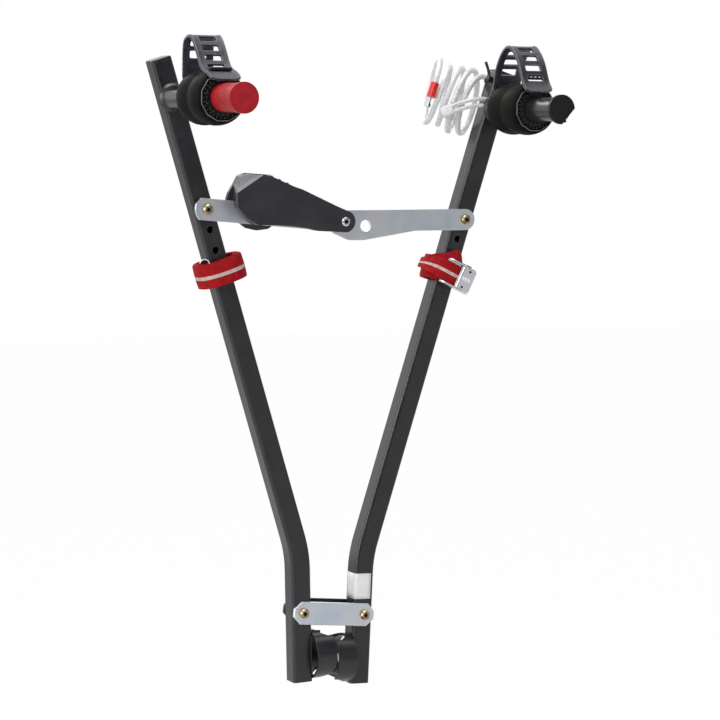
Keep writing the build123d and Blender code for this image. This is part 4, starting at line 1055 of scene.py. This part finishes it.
def makeFold():
    form = foldForm
    rng = random.Random(form["seed"])
    points, uvs = [], []
    for i in range(form["rows"]):
        share = i / (form["rows"] - 1)
        for j, (top, low, front) in enumerate(zip(form["top"], form["low"], form["front"])):
            x, z = (a * (1 - share) + b * share for a, b in zip(top, low))
            y = front + (1 - share) ** 2 * form["tuck"] + rng.uniform(-1, 1) * form["creases"]
            points.append(Vector((x, y, z)) * mm)
            uvs.append((j * form["columnWidth"] * mm, share * form["uvShare"]))
    faces = gridFaces(form["rows"], len(form["top"]))
    fold = meshPiece("rightFold", points, faces, "webbing", "right_arm", uvs=uvs)
    addModifier(fold, "SUBSURF", levels=2, render_levels=2)
    addModifier(fold, "SOLIDIFY", thickness=form["sheet"] * mm, offset=0)


makeFold()
print("fold laid")

# a pale loop on top of the left band
paleLoop = {
    "spots": ((-178.6, 479.2), (-177.6, 481.6), (-174.6, 483.4), (-171.0, 483.4), (-168.0, 481.8),
              (-166.4, 478.6)),
    "y": -17.0, "width": 2.4, "sheet": 1.0, "perRun": 4, "columns": 3,
}


def makePaleLoop():
    spots = [Vector((x, paleLoop["y"], z)) * mm for x, z in paleLoop["spots"]]
    line = smoothPath(spots, paleLoop["perRun"])
    deep = Vector((0, 1, 0))
    outs = [ahead.cross(deep) for ahead in headings(line)]
    loop = ribbon("paleLoop", line, outs, [deep] * len(line), paleLoop["width"] * mm,
                  paleLoop["sheet"] * mm, "paleLabelAndGlint", "left_arm", paleLoop["columns"])


makePaleLoop()
print("pale loop laid")

# blank label round the right upright's front corner
labelWrap = {
    "low": 19.0, "high": 50.0, "rows": 5, "lift": 0.15, "sheet": 0.2,
    "front": (8.5, 4, 0, -4, -8.5), "side": (-4, 0, 4, 8.4), "cornerSteps": 7,
}


def makeLabel():
    half, corner, lift = layout["tubeSize"] / 2, layout["tubeCorner"], labelWrap["lift"]
    flat = [(x, -half - lift) for x in labelWrap["front"]]
    for k in range(1, labelWrap["cornerSteps"] + 1):
        angle = math.pi / 2 * k / labelWrap["cornerSteps"]
        flat.append((corner - half - (corner + lift) * math.sin(angle),
                     corner - half - (corner + lift) * math.cos(angle)))
    flat += [(-half - lift, y) for y in labelWrap["side"]]
    up = leanAxis(1, layout["lowerLean"])
    out = Vector((up.z, 0, -up.x))
    points = []
    for i in range(labelWrap["rows"]):
        height = between(labelWrap["low"], labelWrap["high"], i / (labelWrap["rows"] - 1))
        base = lowerPoint(1, height)
        points += [base + (out * x + Vector((0, y, 0))) * mm for x, y in flat]
    faces = gridFaces(labelWrap["rows"], len(flat))
    label = meshPiece("blankLabel", points, faces, "paleLabelAndGlint", "right_arm")
    addModifier(label, "SOLIDIFY", thickness=labelWrap["sheet"] * mm, offset=0)


makeLabel()
print("label wrapped")

# floor, light and background, in metres and watts
studio = {
    "floorDrop": 0.45, "floorHalf": 9.0, "floorTone": 0.85, "floorRoughness": 0.9, "floorGlow": 0.975,
    "world": 0.55, "mirrorFront": 0.09, "mirrorBack": 1.15, "mirrorSpan": (-0.6, 0.5),
    "leftCard": 3.2, "leftCardSpan": (-0.84, -0.90), "topCard": 3.0, "topCardSpan": (0.84, 0.95),
    "lampTarget": (0, 0, 0.4),
}
lamps = {
    "keyLight": {"power": 29, "size": (1.5, 1.5), "spot": (-2.0, -2.2, 2.2)},
    "fillLight": {"power": 2.5, "size": (1.6, 2.0), "spot": (1.8, -2.8, 0.8)},
    "topLight": {"power": 24, "size": (1.4, 1.2), "spot": (-0.6, 0.1, 2.9)},
    "stripLight": {"power": 16, "size": (0.5, 2.4), "spot": (-2.7, -1.2, 0.5)},
    "backLight": {"power": 16, "size": (1.6, 0.9), "spot": (-0.2, 2.6, 2.0)},
}


def joinShaders(tree, share, first, second):
    mix = tree.nodes.new("ShaderNodeMixShader")
    tree.links.new(share, mix.inputs[0])
    tree.links.new(first.outputs[0], mix.inputs[1])
    tree.links.new(second.outputs[0], mix.inputs[2])
    return mix


def makeFloor():
    half, z = studio["floorHalf"], -studio["floorDrop"]
    mesh = bpy.data.meshes.new("studioFloor")
    corners = [(-half, -half, z), (half, -half, z), (half, half, z), (-half, half, z)]
    mesh.from_pydata(corners, [], [(0, 1, 2, 3)])
    floor = addObject("studioFloor", mesh)
    material, tree, shader = newMaterial("studioFloor")
    shader.inputs["Base Color"].default_value = (*[studio["floorTone"]] * 3, 1)
    shader.inputs["Roughness"].default_value = studio["floorRoughness"]
    glow = addNode(tree, "ShaderNodeEmission", Strength=1)  # nearly plain white to the camera
    path = tree.nodes.new("ShaderNodeLightPath")
    share = combine(tree, "MULTIPLY", path.outputs["Is Camera Ray"], studio["floorGlow"])
    seen = joinShaders(tree, share.outputs[0], shader, glow)
    tree.links.new(seen.outputs[0], tree.nodes["Material Output"].inputs["Surface"])
    mesh.materials.append(material)


def makeWorld():  # soft light, white behind, and bright cards that only reflections show
    world = bpy.data.worlds.new("studioWorld")
    bpy.context.scene.world = world
    world.use_nodes = True
    tree = world.node_tree
    soft = tree.nodes["Background"]
    soft.inputs["Color"].default_value = (1, 1, 1, 1)
    soft.inputs["Strength"].default_value = studio["world"]
    bright = addNode(tree, "ShaderNodeBackground", Color=(1, 1, 1, 1), Strength=1)
    mirrored = addNode(tree, "ShaderNodeBackground", Color=(1, 1, 1, 1))
    heading = tree.nodes.new("ShaderNodeSeparateXYZ")
    tree.links.new(tree.nodes.new("ShaderNodeTexCoord").outputs["Generated"], heading.inputs[0])
    allRound = remap(tree, heading.outputs["Y"], *studio["mirrorSpan"], studio["mirrorFront"],
                     studio["mirrorBack"])
    leftCard = remap(tree, heading.outputs["X"], *studio["leftCardSpan"], 0, studio["leftCard"])
    topCard = remap(tree, heading.outputs["Z"], *studio["topCardSpan"], 0, studio["topCard"])
    total = combine(tree, "ADD", combine(tree, "ADD", leftCard, topCard), allRound)
    wire(tree, total, mirrored, "Strength")
    path = tree.nodes.new("ShaderNodeLightPath")
    shiny = combine(tree, "MAXIMUM", path.outputs["Is Glossy Ray"], path.outputs["Is Transmission Ray"])
    inner = joinShaders(tree, shiny.outputs[0], soft, mirrored)
    outer = joinShaders(tree, path.outputs["Is Camera Ray"], inner, bright)
    tree.links.new(outer.outputs[0], tree.nodes["World Output"].inputs["Surface"])


def makeLamp(name, power, size, spot):
    data = bpy.data.lights.new(name, "AREA")
    data.energy, data.shape = power, "RECTANGLE"
    data.size, data.size_y = size
    light = addObject(name, data)
    light.location = spot
    aim = Vector(studio["lampTarget"]) - Vector(spot)
    light.rotation_euler = aim.to_track_quat("-Z", "Y").to_euler()


makeFloor()
makeWorld()
for lampName, lamp in lamps.items():
    makeLamp(lampName, **lamp)
bpy.context.scene.view_settings.view_transform = "Standard"
print("studio lit")
